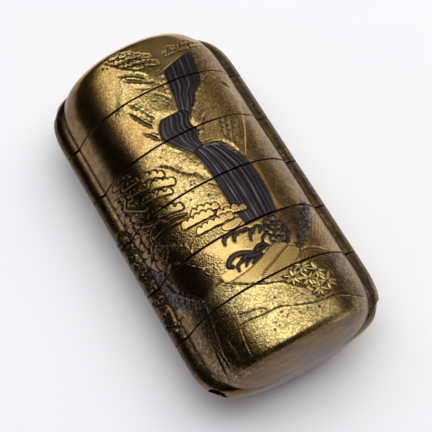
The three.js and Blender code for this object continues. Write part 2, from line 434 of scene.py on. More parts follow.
@dataclass
class Plate:
    """The picture plane: relief height in mm and painted shares over an even grid in X and Y.

    Attributes:
        half_width: Half the plane's width.
        half_length: Half its length.
        cell: Spacing of the grid.
        tone: Gold tone of the bare ground.
        grain: Share of flakes in the bare ground.
        layers: What the plane holds, one grid for each layer.
    """

    half_width: float = 25.6
    half_length: float = 47.4
    cell: float = 0.08
    tone: float = 0.6
    grain: float = 0.45
    layers: dict[Layer, np.ndarray] = field(default_factory=dict)

    def __post_init__(self) -> None:
        """Clears every layer, with the ground at a middling gold."""
        self.xs = np.arange(-self.half_width, self.half_width + self.cell, self.cell)
        self.ys = np.arange(-self.half_length, self.half_length + self.cell, self.cell)
        for layer in Layer:
            self.layers[layer] = np.zeros((len(self.ys), len(self.xs)), np.float32)
        self.layers[Layer.TONE] += self.tone
        self.layers[Layer.GRAIN] += self.grain

    def window(self, points: np.ndarray, reach: float) -> Window:
        """The patch that holds the points and `reach` round them.

        Args:
            points: Rows of (x, y).
            reach: Margin round them.

        Returns:
            The patch, cut off at the plate's edges.
        """
        low, high = points.min(0) - reach, points.max(0) + reach
        c0, c1 = np.searchsorted(self.xs, [low[0], high[0]])
        r0, r1 = np.searchsorted(self.ys, [low[1], high[1]])
        rows, cols = slice(int(r0), int(r1)), slice(int(c0), int(c1))
        x, y = np.meshgrid(self.xs[cols], self.ys[rows])
        return Window(rows, cols, x, y)

    def trace(self, points: np.ndarray, reach: float) -> tuple[Window, np.ndarray, np.ndarray]:
        """Measures how far each cell near a line is from it.

        Args:
            points: The line.
            reach: Distance past which cells don't matter.

        Returns:
            The patch, each cell's distance, and how far along the line its nearest spot is.
        """
        patch = self.window(points, reach)
        near = np.full(patch.x.shape, 1e3)
        along = np.zeros(patch.x.shape)
        if not near.size:
            return patch, near, along
        xs, ys = patch.x[0], patch.y[:, 0]
        run = 0.0
        for a, b in zip(points, points[1:]):
            low, high = np.minimum(a, b) - reach, np.maximum(a, b) + reach
            c0, c1 = np.searchsorted(xs, [low[0], high[0]])
            r0, r1 = np.searchsorted(ys, [low[1], high[1]])
            span = float(np.hypot(*(b - a)))
            if c1 > c0 and r1 > r0 and span > 0:
                part = (slice(r0, r1), slice(c0, c1))
                dx, dy = patch.x[part] - a[0], patch.y[part] - a[1]
                t = np.clip((dx * (b[0] - a[0]) + dy * (b[1] - a[1])) / span**2, 0, 1)
                d = np.hypot(dx - t * (b[0] - a[0]), dy - t * (b[1] - a[1]))
                closer = d < near[part]
                near[part] = np.where(closer, d, near[part])
                along[part] = np.where(closer, run + t * span, along[part])
            run += span
        return patch, near, along

    def depth_in(self, outline: np.ndarray, reach: float) -> tuple[Window, np.ndarray]:
        """Measures how far inside an outline each cell is, negative outside and capped at `reach`.

        Args:
            outline: Rows of (x, y), not closed.
            reach: Where the measure is capped.

        Returns:
            The patch, and each cell's depth.
        """
        ring = np.vstack([outline, outline[:1]])
        patch, near, _ = self.trace(ring, reach)
        inside = np.zeros(near.shape, bool)
        if not inside.size:
            return patch, near
        ys = patch.y[:, 0]
        for a, b in zip(ring, ring[1:]):
            if a[1] == b[1]:
                continue
            rows = np.where((ys > min(a[1], b[1])) & (ys <= max(a[1], b[1])))[0]
            cross = a[0] + (ys[rows] - a[1]) * (b[0] - a[0]) / (b[1] - a[1])
            inside[rows] ^= patch.x[rows] < cross[:, None]
        return patch, np.where(inside, np.minimum(near, reach), -np.minimum(near, reach))

    def view(self, layer: Layer, patch: Window) -> np.ndarray:
        """The cells of a layer in a patch, open to be written."""
        return self.layers[layer][patch.rows, patch.cols]

    def blend(self, layer: Layer, patch: Window, share: np.ndarray, value: float | np.ndarray) -> None:
        """Moves a layer toward a value by a share of one."""
        cells = self.view(layer, patch)
        cells += (value - cells) * share

    def add(self, layer: Layer, patch: Window, amount: np.ndarray) -> None:
        """Adds to a layer."""
        cells = self.view(layer, patch)
        cells += amount

    def lift(self, patch: Window, height: np.ndarray) -> None:
        """Raises the relief to at least a height."""
        cells = self.view(Layer.HEIGHT, patch)
        np.maximum(cells, height, out=cells)

    def sample(self, layer: Layer, x: np.ndarray, y: np.ndarray) -> np.ndarray:
        """Reads a layer between its cells.

        Args:
            layer: The layer.
            x: X of each place.
            y: Y of each place.

        Returns:
            The layer's value at each place.
        """
        fx = np.clip((x - self.xs[0]) / self.cell, 0, len(self.xs) - 1.001)
        fy = np.clip((y - self.ys[0]) / self.cell, 0, len(self.ys) - 1.001)
        ix, iy = fx.astype(int), fy.astype(int)
        tx, ty = fx - ix, fy - iy
        cells = self.layers[layer]
        low = cells[iy, ix] * (1 - tx) + cells[iy, ix + 1] * tx
        high = cells[iy + 1, ix] * (1 - tx) + cells[iy + 1, ix + 1] * tx
        return low * (1 - ty) + high * ty


# ---- marks that the picture is made of


@dataclass(frozen=True)
class Stroke:
    """A line cut into the ground or laid on it.

    Attributes:
        anchors: Points it passes through.
        width: Width at its middle.
        height: Relief, negative where it is cut in.
        ink: Share of dark lacquer in it.
        taper: Length over which each end runs out.
        gild: Shift of the gold's tone along it.
        wander: Small unevenness of the line's width.
    """

    anchors: Points
    width: float = 0.32
    height: float = -0.07
    ink: float = 0.75
    taper: float = 0.9
    gild: float = 0.0
    wander: float = 0.2

    def draw(self, plate: Plate) -> None:
        """Draws the line on a plate.

        Args:
            plate: The plate drawn on.
        """
        line = spline(self.anchors)
        total = float(np.hypot(*np.diff(line, axis=0).T).sum())
        patch, near, along = plate.trace(line, self.width * 1.6)
        ends = np.minimum(along, total - along)
        swell = 0.35 + 0.65 * ease(ends / max(self.taper, 1e-3))
        swell *= 1 + self.wander * np.sin(along * 4.1 + line[0, 0] * 3)
        reach = near / (self.width * 0.5 * swell)
        body = np.exp(-(reach**2) * 0.9)
        plate.add(Layer.HEIGHT, patch, self.height * body * swell)
        if self.ink:
            plate.blend(Layer.INK_AND_SHADE, patch, self.ink * np.exp(-(reach**3) * 0.8) * swell.clip(0, 1), 1.0)
        if self.gild:
            plate.add(Layer.TONE, patch, self.gild * body)


def fold(anchors: Points, width: float, depth: float, ink: float = 0.75, taper: float = 0.9) -> Stroke:
    """A line cut into the ground, dark with lacquer."""
    return Stroke(anchors, width, -depth, ink, taper)


def ridge(anchors: Points, width: float, height: float, gild: float, taper: float = 0.9) -> Stroke:
    """A raised line of brighter gold."""
    return Stroke(anchors, width, height, 0.0, taper, gild)


@dataclass(frozen=True)
class Bed:
    """An area of ground raised to a level, with a bevelled or a fading edge.

    Attributes:
        outline: Anchors of its outline, closed.
        height: Level it is raised to.
        edge: Width of its edge.
        tone: Gold tone inside, or None to leave it.
        grain: Share of flakes inside, or None to leave it.
    """

    outline: Points
    height: float = 0.2
    edge: float = 0.3
    tone: float | None = None
    grain: float | None = None

    def draw(self, plate: Plate) -> None:
        """Draws the area on a plate.

        Args:
            plate: The plate drawn on.
        """
        patch, depth = plate.depth_in(closed_spline(self.outline), self.edge)
        share = ease(0.5 + depth / (2 * self.edge))
        plate.lift(patch, self.height * ease(depth / self.edge))
        if self.tone is not None:
            plate.blend(Layer.TONE, patch, share, self.tone)
        if self.grain is not None:
            plate.blend(Layer.GRAIN, patch, share, self.grain)


@dataclass(frozen=True)
class Fleck:
    """A small chip or dot of dark lacquer.

    Attributes:
        x: Centre.
        y: Centre.
        size: Its width.
    """

    x: float
    y: float
    size: float = 0.4

    def draw(self, plate: Plate) -> None:
        """Draws the chip on a plate.

        Args:
            plate: The plate drawn on.
        """
        patch = plate.window(np.array([[self.x, self.y]]), self.size * 1.4)
        turn = np.arctan2(patch.y - self.y, patch.x - self.x)
        radius = np.hypot(patch.x - self.x, patch.y - self.y) * (1 + 0.18 * np.sin(3 * turn + self.x * 7))
        share = ease(1.35 - radius / (self.size * 0.62))
        plate.add(Layer.HEIGHT, patch, -0.1 * share)
        plate.blend(Layer.INK_AND_SHADE, patch, share, 1.0)


@dataclass(frozen=True)
class Bead:
    """One small raised bead of froth, moss or leaf.

    Attributes:
        x: Centre.
        y: Centre.
        radius: Its radius.
        charcoal: Share of charcoal powder in it.
        silver: Share of pale powder on its crown.
        height: Its height.
    """

    x: float
    y: float
    radius: float
    charcoal: float = 0.0
    silver: float = 0.0
    height: float = 0.08

    def draw(self, plate: Plate) -> None:
        """Draws the bead on a plate.

        Args:
            plate: The plate drawn on.
        """
        patch = plate.window(np.array([[self.x, self.y]]), self.radius * 1.7)
        near = np.hypot(patch.x - self.x, patch.y - self.y) / self.radius
        dome = np.sqrt(np.clip(1 - near**2, 0, 1))
        cover = ease(1.65 - near)
        plate.add(Layer.HEIGHT, patch, self.height * dome)
        if self.charcoal:
            plate.blend(Layer.FALL, patch, cover, self.charcoal)
            plate.blend(Layer.SILVER, patch, cover, self.silver * dome**2)
        else:
            # painted highlight: paler gold toward the bead's crown
            plate.add(Layer.TONE, patch, 0.25 * dome)


@dataclass(frozen=True)
class Stipple:
    """Small raised beads in uneven rows over an area.

    Attributes:
        outline: Anchors of the area.
        spacing: Distance between beads.
        radius: Radius of a bead.
        height: Height of a bead.
        ink: Share of dark lacquer between the beads.
        edge: Width over which the beads thin out at the outline.
        jitter: Largest shift of a bead from an even row, as a share of the spacing.
        period: Rows and columns after which the shifts repeat.
    """

    outline: Points
    spacing: float = 0.46
    radius: float = 0.19
    height: float = 0.09
    ink: float = 0.4
    edge: float = 1.2
    jitter: float = 0.24
    period: tuple[int, int] = (97, 89)

    def draw(self, plate: Plate, rng: Dice) -> None:
        """Draws the beads on a plate.

        Args:
            plate: The plate drawn on.
            rng: Source of the random draws.
        """
        patch, depth = plate.depth_in(closed_spline(self.outline), self.edge)
        if not depth.size:
            return
        share = ease(0.4 + depth / self.edge)
        cols, rows = patch.x / self.spacing, patch.y / (self.spacing * 0.87)
        row = np.floor(rows).astype(int)
        shift = rng.uniform(-self.jitter, self.jitter, (2, *self.period))
        tall, wide = self.period
        near = np.full(depth.shape, 9.0)
        for dr in (-1, 0, 1):
            for dc in (-1, 0, 1):
                r, k = row + dr, np.floor(cols + 0.5 * ((row + dr) % 2)).astype(int) + dc
                cx = k + 0.5 - 0.5 * (r % 2) + shift[0][r % tall, k % wide]
                cy = r + 0.5 + shift[1][r % tall, k % wide]
                near = np.minimum(near, np.hypot((cols - cx), (rows - cy) * 0.87) * self.spacing)
        bead = np.sqrt(np.clip(1 - (near / self.radius) ** 2, 0, 1))
        plate.add(Layer.HEIGHT, patch, self.height * bead * share)
        plate.blend(Layer.INK_AND_SHADE, patch, share * self.ink * (1 - ease(bead * 2.2)), 1.0)
        # painted highlight: paler gold on each bead's crown
        plate.add(Layer.TONE, patch, 0.3 * share * bead)


@dataclass(frozen=True)
class PinePad:
    """A cushion of pine needles: a flat tongue of raised gold, scalloped on top, with a dark cut round it.

    Attributes:
        x: Root of the tongue.
        y: Root of the tongue.
        length: Root to tip.
        angle: Direction from root to tip, in degrees.
        lobes: Scallops along its upper edge.
        radius: Radius of a scallop.
        level: Height of the cushion.
        tone: Gold tone of the cushion.
    """

    x: float
    y: float
    length: float
    angle: float = -15.0
    lobes: int = 4
    radius: float = 0.64
    level: float = 0.3
    tone: float = 0.7

    def depth(self, x: np.ndarray, y: np.ndarray) -> np.ndarray:
        """How far inside the cushion each point is, negative outside.

        Args:
            x: X of each point.
            y: Y of each point.

        Returns:
            The depth of each point.
        """
        a = math.radians(self.angle)
        along = (x - self.x) * math.cos(a) + (y - self.y) * math.sin(a)
        off = (y - self.y) * math.cos(a) - (x - self.x) * math.sin(a)
        reach = self.length - self.radius
        body = self.radius * 0.78 - np.hypot(along - np.clip(along, 0, reach), off + 0.3 * self.radius)
        for i in range(self.lobes):
            centre = reach * (i + 0.25) / max(1.0, self.lobes - 0.55)
            size = self.radius * (0.96 + 0.12 * math.sin(2.4 * i + self.x))
            arch = 0.35 * self.radius * math.sin(math.pi * (i + 0.5) / self.lobes)
            body = np.maximum(body, size - np.hypot(along - centre, off - 0.22 * self.radius - arch))
        return body

    def draw(self, plate: Plate) -> None:
        """Draws the cushion over whatever lies under it.

        Args:
            plate: The plate drawn on.
        """
        a = math.radians(self.angle)
        tip = (self.x + self.length * math.cos(a), self.y + self.length * math.sin(a))
        patch = plate.window(np.array([(self.x, self.y), tip]), 2.4 * self.radius)
        depth = self.depth(patch.x, patch.y)
        cover = ease(0.5 + depth / 0.14)
        for layer, value in (
            (Layer.FALL, 0.0), (Layer.SILVER, 0.0), (Layer.INK_AND_SHADE, 0.0), (Layer.TONE, self.tone)
        ):
            plate.blend(layer, patch, cover, value)
        plate.blend(Layer.GRAIN, patch, cover, 0.2)
        rim = np.exp(-(((depth - 0.17) / 0.12) ** 2))
        dome = self.level * (0.7 + 0.3 * np.sqrt(np.clip(depth / 0.7, 0, 1))) + 0.06 * rim
        plate.blend(Layer.HEIGHT, patch, cover, dome)
        plate.add(Layer.TONE, patch, 0.28 * rim * cover)
        cut = np.exp(-(((depth + 0.09) / 0.15) ** 2))
        plate.add(Layer.HEIGHT, patch, -0.14 * cut)
        plate.blend(Layer.INK_AND_SHADE, patch, 0.95 * cut, 1.0)


@dataclass(frozen=True)
class WaterDrop:
    """One drop of the fall: a sheet of charcoal lacquer combed with pale silver strands.

    Attributes:
        left: Anchors of its left edge, from the top.
        right: Anchors of its right edge, from the top.
        strands: Bright strands across it, as (share of the width, strength).
        level: Height of the sheet.
    """

    left: Points
    right: Points
    strands: Points
    level: float = 0.14

    def draw(self, plate: Plate, rng: Dice) -> None:
        """Draws the sheet on a plate.

        Args:
            plate: The plate drawn on.
            rng: Source of the random draws.
        """
        left, right = spline(self.left), spline(self.right)
        patch, depth = plate.depth_in(np.vstack([left, right[::-1]]), 0.5)
        cover = ease(0.5 + depth / 0.2)
        x_left = np.interp(-patch.y[:, 0], -left[:, 1], left[:, 0])[:, None]
        x_right = np.interp(-patch.y[:, 0], -right[:, 1], right[:, 0])[:, None]
        width = np.maximum(x_right - x_left, 0.5)
        t = (patch.x - x_left) / width
        fine = sum(
            np.sin(
                t * 2 * math.pi * n + rng.uniform(0, 6.3) + 0.2 * np.sin(patch.y * rng.uniform(0.2, 0.5))
            )
            for n in (7, 12, 19)
        )
        silver = 0.02 + 0.035 * fine
        ridge = 0.02 * fine
        for share, strength in self.strands:
            drift = 0.008 * np.sin(patch.y * rng.uniform(0.3, 0.6) + rng.uniform(0, 6.3))
            off = (t - share - drift) * width
            broken = 0.7 + 0.3 * np.sin(patch.y * rng.uniform(0.5, 1.1) + rng.uniform(0, 6.3))
            line = 1.15 * np.exp(-((off / 0.1) ** 2)) + 0.12 * np.exp(-(((off - 0.28) / 0.2) ** 2))
            silver = silver + strength * broken * line
            ridge = ridge + 0.06 * strength * line
        plate.blend(Layer.FALL, patch, cover, 1.0)
        plate.blend(Layer.INK_AND_SHADE, patch, cover, 0.0)
        plate.blend(Layer.GRAIN, patch, cover, 0.0)
        plate.blend(Layer.HEIGHT, patch, cover, self.level + ridge)
        edge = np.exp(-((depth / 0.2) ** 2))
        plate.blend(Layer.SILVER, patch, cover, np.clip(silver, 0, 1) * (1 - edge))
        plate.add(Layer.HEIGHT, patch, -0.1 * edge)
        plate.blend(Layer.INK_AND_SHADE, patch, 0.8 * edge * (depth < 0.2), 1.0)


@dataclass(frozen=True)
class RoundStroke:
    """A thick rounded stroke laid on the ground, such as a hook of foam or a limb of a tree.

    Attributes:
        anchors: The stroke's line, from its tail to its head.
        width: Its full width.
        charcoal: Share of charcoal powder in it; the rest is gold.
        silver: Share of pale powder along its crown.
        level: Its height.
        tone: Gold tone of it.
        cut: Share of dark lacquer in the cut round it.
    """

    anchors: Points
    width: float = 0.85
    charcoal: float = 0.9
    silver: float = 0.12
    level: float = 0.3
    tone: float = 0.5
    cut: float = 0.55

    def draw(self, plate: Plate) -> None:
        """Draws the stroke over whatever lies under it.

        Args:
            plate: The plate drawn on.
        """
        line = spline(self.anchors, 0.2)
        total = float(np.hypot(*np.diff(line, axis=0).T).sum())
        patch, near, along = plate.trace(line, self.width)
        head = 0.7 + 0.3 * ease((total - along) / 1.0)
        tail = 0.65 + 0.35 * ease(along / 0.8)
        radius = self.width * 0.5 * head * tail
        cover = ease((radius - near) / 0.14 + 0.5)
        crown = np.sqrt(np.clip(1 - (near / radius) ** 2, 0, 1))
        plate.blend(Layer.HEIGHT, patch, cover, self.level * (0.35 + 0.65 * crown))
        plate.blend(Layer.FALL, patch, cover, self.charcoal)
        plate.blend(Layer.SILVER, patch, cover, self.silver * crown**2)
        plate.blend(Layer.INK_AND_SHADE, patch, cover, 0.0)
        plate.blend(Layer.TONE, patch, cover, self.tone + 0.35 * (1 - crown))
        plate.blend(Layer.GRAIN, patch, cover, 0.2)
        cut = np.exp(-(((near - radius - 0.08) / 0.14) ** 2))
        plate.add(Layer.HEIGHT, patch, -0.09 * cut)
        plate.blend(Layer.INK_AND_SHADE, patch, self.cut * cut, 1.0)


@dataclass(frozen=True)
class GrassLeaf:
    """A bamboo-grass leaf: a pointed blade of pale gold with a low midrib.

    Attributes:
        x: Its stalk end.
        y: Its stalk end.
        angle: Its direction in degrees.
        length: Stalk to tip.
        width: Its widest.
        level: Its height.
    """

    x: float
    y: float
    angle: float
    length: float = 2.4
    width: float = 0.66
    level: float = 0.34

    def draw(self, plate: Plate) -> None:
        """Draws the blade over a dark bed of its own.

        Args:
            plate: The plate drawn on.
        """
        a = math.radians(self.angle)
        tip = (self.x + self.length * math.cos(a), self.y + self.length * math.sin(a))
        patch, near, along = plate.trace(np.array([(self.x, self.y), tip]), self.width)
        share = np.clip(along / self.length, 0, 1)
        radius = self.width * 0.5 * (np.sin(math.pi * share**0.8)) ** 0.75 + 0.02
        shade = ease((radius + 0.3 - near) / 0.2)
        cover = ease((radius - near) / 0.1 + 0.5)
        plate.blend(Layer.INK_AND_SHADE, patch, 0.95 * shade * (1 - cover), 1.0)
        plate.add(Layer.HEIGHT, patch, -0.07 * shade * (1 - cover))
        for layer, value in ((Layer.INK_AND_SHADE, 0.0), (Layer.FALL, 0.0), (Layer.TONE, 1.0), (Layer.GRAIN, 0.05)):
            plate.blend(layer, patch, cover, value)
        roof = 1 - 0.18 * near / np.maximum(radius, 0.05)
        plate.blend(Layer.HEIGHT, patch, cover, self.level * roof)


@dataclass(frozen=True)
class Hatch:
    """Fine parallel combing that follows a curve, cut inside an outline.

    Attributes:
        outline: Anchors of the area.
        guide: A line that the combing runs beside.
        spacing: Distance between strokes.
        depth: Depth of a stroke.
        ink: Share of dark lacquer in a stroke.
        reach: How far from the guide the combing goes.
    """

    outline: Points
    guide: Points
    spacing: float = 0.42
    depth: float = 0.045
    ink: float = 0.35
    reach: float = 14.0

    def draw(self, plate: Plate) -> None:
        """Draws the combing on a plate.

        Args:
            plate: The plate drawn on.
        """
        patch, inside = plate.depth_in(closed_spline(self.outline), 0.6)
        if not inside.size:
            return
        wide, near, _ = plate.trace(spline(self.guide), self.reach)
        r0, c0 = patch.rows.start - wide.rows.start, patch.cols.start - wide.cols.start
        rows, cols = slice(max(r0, 0), r0 + inside.shape[0]), slice(max(c0, 0), c0 + inside.shape[1])
        share = ease(inside / 0.5)
        comb = 0.5 + 0.5 * np.cos(near[rows, cols] / self.spacing * 2 * math.pi)
        plate.add(Layer.HEIGHT, patch, -self.depth * comb * share)
        plate.blend(Layer.INK_AND_SHADE, patch, self.ink * comb**2 * share, 1.0)


@dataclass(frozen=True)
class BeadBand:
    """Dark beads strewn loosely along a line, as a thicket or a leafy bank.

    Attributes:
        anchors: Points that the band follows.
        step: Spacing of the spots that beads are strewn from.
        count: Beads at each spot.
        spread: How far they stray, as a standard deviation.
        radii: Smallest and largest bead.
        silvers: Shares of pale powder that a bead may carry.
        charcoal: Share of charcoal powder in a bead.
    """

    anchors: Points
    step: float
    count: int
    spread: float
    radii: tuple[float, float]
    silvers: tuple[float, ...]
    charcoal: float = 0.85

    def draw(self, plate: Plate, rng: Dice) -> None:
        """Draws the beads on a plate.

        Args:
            plate: The plate drawn on.
            rng: Source of the random draws.
        """
        for x, y in spline(self.anchors, self.step):
            for _ in range(self.count):
                dx, dy = rng.normal(0, self.spread, 2)
                silver = float(rng.choice(self.silvers))
                radius = float(rng.uniform(*self.radii))
                Bead(float(x + dx), float(y + dy), radius, self.charcoal, silver).draw(plate)


def hook(x: float, y: float, radius: float, side: int, tail: float = 0.7, start: float = 200.0) -> Points:
    """Anchors of a curl.

    Args:
        x: Centre of the curl.
        y: Centre of the curl.
        radius: Radius of the curl.
        side: 1 to open to the left, -1 to open to the right.
        tail: Length of the tail past the curl.
        start: Angle at which the head starts, in degrees.

    Returns:
        Anchors from the tail to the head.
    """
    turn = [math.radians(start - 38 * i) for i in range(7)]
    curl = [
        (
            x - side * radius * (0.55 + 0.075 * i) * math.cos(a),
            y + radius * (0.55 + 0.075 * i) * math.sin(a),
        )
        for i, a in enumerate(turn)
    ]
    end = curl[-1]
    return [(end[0] + side * tail, end[1] - 0.55 * tail), *curl[::-1]]


# ---- parts of the picture


@dataclass
class Falls:
    """The waterfall: three charcoal drops and the pale lips of rock beside them."""

    drops: tuple[WaterDrop, ...] = (
        WaterDrop(
            ((4.7, 33.0), (4.3, 31.4), (3.8, 28.4), (3.4, 25.6), (2.8, 22.6), (2.2, 19.4)),
            (
                (13.9, 36.6), (13.6, 34.4), (12.8, 30.6), (12.0, 27.2), (9.9, 25.7), (8.8, 24.6),
                (8.0, 22.8), (6.6, 21.0), (4.8, 19.4),
            ),
            ((0.12, 0.3), (0.29, 0.75), (0.47, 0.3), (0.6, 0.8), (0.8, 0.35), (0.92, 0.2)),
        ),
        WaterDrop(
            (
                (-2.4, 21.0), (-3.7, 19.8), (-4.6, 17.6), (-4.7, 15.8), (-3.4, 13.6), (-1.6, 11.2),
                (-0.1, 9.2), (0.5, 7.4),
            ),
            (
                (3.6, 21.0), (4.5, 19.8), (3.5, 17.4), (3.5, 16.0), (4.1, 14.6), (3.1, 13.1), (2.9, 11.4),
                (3.6, 9.2), (3.6, 7.4),
            ),
            ((0.13, 0.55), (0.27, 0.35), (0.41, 0.7), (0.6, 0.3), (0.74, 0.5), (0.9, 0.2)),
        ),
        WaterDrop(
            ((0.3, 9.3), (0.7, 6.5), (1.1, 2.0), (1.1, -7.0), (1.8, -14.0)),
            (
                (3.2, 10.1), (5.0, 9.7), (6.8, 9.4), (8.4, 7.9), (10.2, 4.4), (11.4, 0.5), (11.6, -6.0),
                (10.3, -14.0),
            ),
            (
                (0.07, 0.2), (0.19, 0.85), (0.28, 0.25), (0.42, 0.95), (0.5, 0.3), (0.67, 0.9),
                (0.78, 0.25), (0.9, 0.45),
            ),
        ),
    )

    def draw(self, plate: Plate, rng: Dice) -> None:
        """Draws the drops, then the froth along the lowest lip.

        Args:
            plate: The plate drawn on.
            rng: Source of the random draws.
        """
        for drop in self.drops:
            drop.draw(plate, rng)
        lip = spline(((3.6, 9.9), (5.8, 9.3), (7.8, 8.2), (9.0, 6.0), (10.2, 4.2), (11.2, 2.2)), 0.3)
        for x, y in lip:
            for _ in range(3):
                dx, dy = rng.uniform(-0.45, 0.45, 2)
                Bead(float(x + dx), float(y + dy), float(rng.uniform(0.14, 0.22)), 0.8, 0.5).draw(plate)
        for anchors in (
            ((4.9, 33.0), (4.3, 32.7), (3.9, 31.2), (3.3, 29.3), (2.7, 25.4)),
            ((0.4, 6.8), (0.2, 4.6), (0.7, 1.6)),
            ((5.4, 19.9), (6.9, 21.3), (8.4, 23.3), (9.9, 24.9), (12.0, 26.7)),
            ((3.9, 12.9), (4.9, 14.6), (4.2, 16.2), (4.3, 17.4), (5.0, 19.2)),
            ((-5.3, 17.6), (-5.3, 15.6), (-4.0, 13.2), (-2.2, 10.8)),
        ):
            ridge(anchors, 0.8, 0.14, 0.2, 1.2).draw(plate)


@dataclass
class LeftCliff:
    """The cliffs left of the fall, with cut folds and a beaded ridge."""

    beds: tuple[Bed, ...] = (
        Bed(
            (
                (-12.0, 28.0), (-7.0, 36.6), (-1.0, 37.6), (1.6, 37.2), (4.3, 33.0), (3.3, 28.0),
                (3.0, 20.6), (-2.6, 20.9),
            ),
            height=0.2, edge=2.6, tone=0.8, grain=0.7,
        ),
        Bed(
            (
                (-11.6, 14.0), (-6.4, 18.4), (-3.3, 13.8), (0.6, 9.2), (0.9, 1.2), (-1.2, 3.2), (-5.2, 6.4),
                (-9.0, 10.4),
            ),
            height=0.12, edge=2.6, tone=0.85, grain=0.8,
        ),
        Bed(
            ((-8.5, 10.6), (-5.0, 5.6), (-1.3, 3.2), (0.9, -1.5), (0.9, -6.0), (-9.0, -3.0), (-12.0, 4.0)),
            height=0.08, edge=1.4, tone=0.9, grain=0.75,
        ),
    )
    folds: tuple[Stroke, ...] = (
        fold(((-5.9, 37.4), (-3.6, 36.1), (-1.5, 34.7), (-0.1, 33.0)), 0.85, 0.24, 0.7, 1.6),
        fold(((-5.4, 35.4), (-3.0, 33.8), (-0.8, 32.2), (1.6, 31.3)), 0.8, 0.24, 0.75, 1.6),
        fold(((1.3, 31.0), (2.2, 29.8), (2.7, 28.6)), 0.6, 0.14, 0.5),
        fold(((-3.4, 31.6), (-1.6, 30.6), (-0.2, 30.2)), 0.5, 0.1, 0.3),
        fold(((-0.9, 28.9), (0.7, 27.4), (1.9, 25.9), (2.4, 24.6)), 0.6, 0.16, 0.55),
        fold(((-7.4, 29.2), (-6.4, 27.1), (-5.2, 25.0), (-4.6, 23.4), (-3.3, 21.7)), 0.7, 0.2, 0.6, 1.4),
        fold(((-8.6, 26.8), (-7.4, 24.4), (-6.3, 22.2), (-5.1, 20.0)), 0.75, 0.22, 0.75, 1.4),
        fold(((-8.2, 20.4), (-6.7, 18.4), (-5.6, 16.8), (-4.7, 15.8)), 0.7, 0.2, 0.7, 1.2),
        fold(((1.1, 38.0), (1.7, 36.7), (3.0, 35.0), (4.4, 33.9), (4.8, 32.9)), 0.36, 0.12, 0.9),
        fold(((-9.8, 11.0), (-7.2, 9.1), (-5.2, 6.4), (-3.4, 4.6), (-1.5, 4.0)), 0.46, 0.16, 0.9),
        fold(((-1.5, 4.0), (-1.2, 2.6), (-0.8, 1.1)), 0.36, 0.1, 0.7),
        fold(((-1.0, 0.5), (0.0, -0.4), (1.1, -1.6)), 0.4, 0.12, 0.9),
    )
    ridges: tuple[Stroke, ...] = (
        ridge(((-5.4, 36.2), (-3.3, 34.9), (-1.2, 33.2)), 1.0, 0.2, 0.25, 1.6),
        ridge(((-3.4, 37.7), (-1.8, 36.7), (-0.5, 35.4), (0.6, 33.8)), 0.9, 0.14, 0.2),
        ridge(((-4.4, 33.8), (-2.4, 32.4), (-0.4, 31.2)), 0.8, 0.16, 0.2),
        ridge(((-6.4, 28.2), (-5.5, 26.0), (-4.2, 23.6), (-3.2, 22.4)), 0.9, 0.14, 0.15),
        ridge(((-7.0, 24.8), (-5.9, 22.6), (-4.7, 20.6)), 0.9, 0.18, 0.2),
        ridge(((-6.4, 19.2), (-5.3, 17.6), (-4.9, 16.9)), 0.7, 0.14, 0.15),
    )

    def draw(self, plate: Plate, rng: Dice) -> None:
        """Draws the beds, folds and ridges.

        Args:
            plate: The plate drawn on.
            rng: Source of the random draws.
        """
        for mark in (*self.beds, *self.folds, *self.ridges):
            mark.draw(plate)
        for x, y in spline(((-6.0, 26.4), (-5.2, 24.6), (-4.3, 22.9), (-3.6, 21.9)), 0.45):
            for side in (-0.3, 0.25):
                Bead(float(x) + side, float(y) + float(rng.uniform(-0.1, 0.1)), 0.2).draw(plate)


@dataclass
class RightRock:
    """The rocks right of the fall, with combed folds and a pale sky line."""

    beds: tuple[Bed, ...] = (
        Bed(
            (
                (14.6, 28.2), (12.0, 26.9), (8.4, 24.5), (7.0, 22.6), (4.9, 20.3), (4.0, 17.2), (4.6, 15.0),
                (3.0, 12.6),
                (3.2, 10.4), (6.8, 9.9), (9.6, 7.0), (10.9, 2.6), (13.4, 6.4), (16.4, 12.4), (18.6, 19.2),
                (18.2, 24.2),
            ),
            height=0.28, edge=0.5, tone=0.62, grain=0.75,
        ),
        Bed(
            (
                (13.6, 35.8), (12.6, 31.4), (12.1, 27.4), (14.7, 28.6), (18.6, 24.8), (20.4, 31.0),
                (20.0, 38.4), (17.0, 38.6),
            ),
            height=0.28, edge=0.5, tone=0.55, grain=0.8,
        ),
        Bed(
            ((11.5, 1.0), (14.0, 6.0), (19.0, 18.0), (21.5, 18.0), (21.5, -13.0), (11.0, -13.0)),
            height=0.12, edge=1.6, tone=0.42, grain=0.5,
        ),
    )
    folds: tuple[Stroke, ...] = (
        fold(((7.6, 17.4), (6.3, 15.8), (5.2, 14.3), (4.3, 13.4)), 0.5, 0.12, 0.6),
        fold(((11.0, 16.0), (10.0, 13.4), (9.4, 11.0), (9.2, 9.0)), 0.45, 0.12, 0.6),
        fold(((12.0, 15.4), (11.0, 12.4), (10.2, 10.0), (9.8, 7.6)), 0.45, 0.12, 0.6),
        fold(((13.4, 14.6), (12.2, 11.6), (11.2, 9.0), (10.6, 6.6)), 0.42, 0.1, 0.6),
        fold(((8.9, 24.1), (10.4, 25.6), (12.2, 26.7), (14.6, 28.1), (17.0, 25.6), (19.2, 24.0)), 0.3, 0.1),
    )
    ridges: tuple[Stroke, ...] = (
        ridge(((11.6, 15.6), (10.6, 13.0), (9.8, 10.4)), 0.6, 0.12, 0.3),
        ridge(((12.8, 15.0), (11.7, 12.0), (10.7, 9.0)), 0.6, 0.12, 0.3),
        ridge(((14.4, 14.0), (13.0, 10.6), (11.8, 7.6)), 0.7, 0.1, 0.2),
        ridge(((12.4, 27.1), (14.7, 28.7), (17.2, 26.1), (19.4, 24.5)), 0.35, 0.12, 0.5),
        ridge(((5.2, 14.9), (6.6, 16.8), (8.0, 18.6)), 0.7, 0.08, 0.15),
    )

    def draw(self, plate: Plate) -> None:
        """Draws the beds, folds and ridges."""
        for mark in (*self.beds, *self.folds, *self.ridges):
            mark.draw(plate)


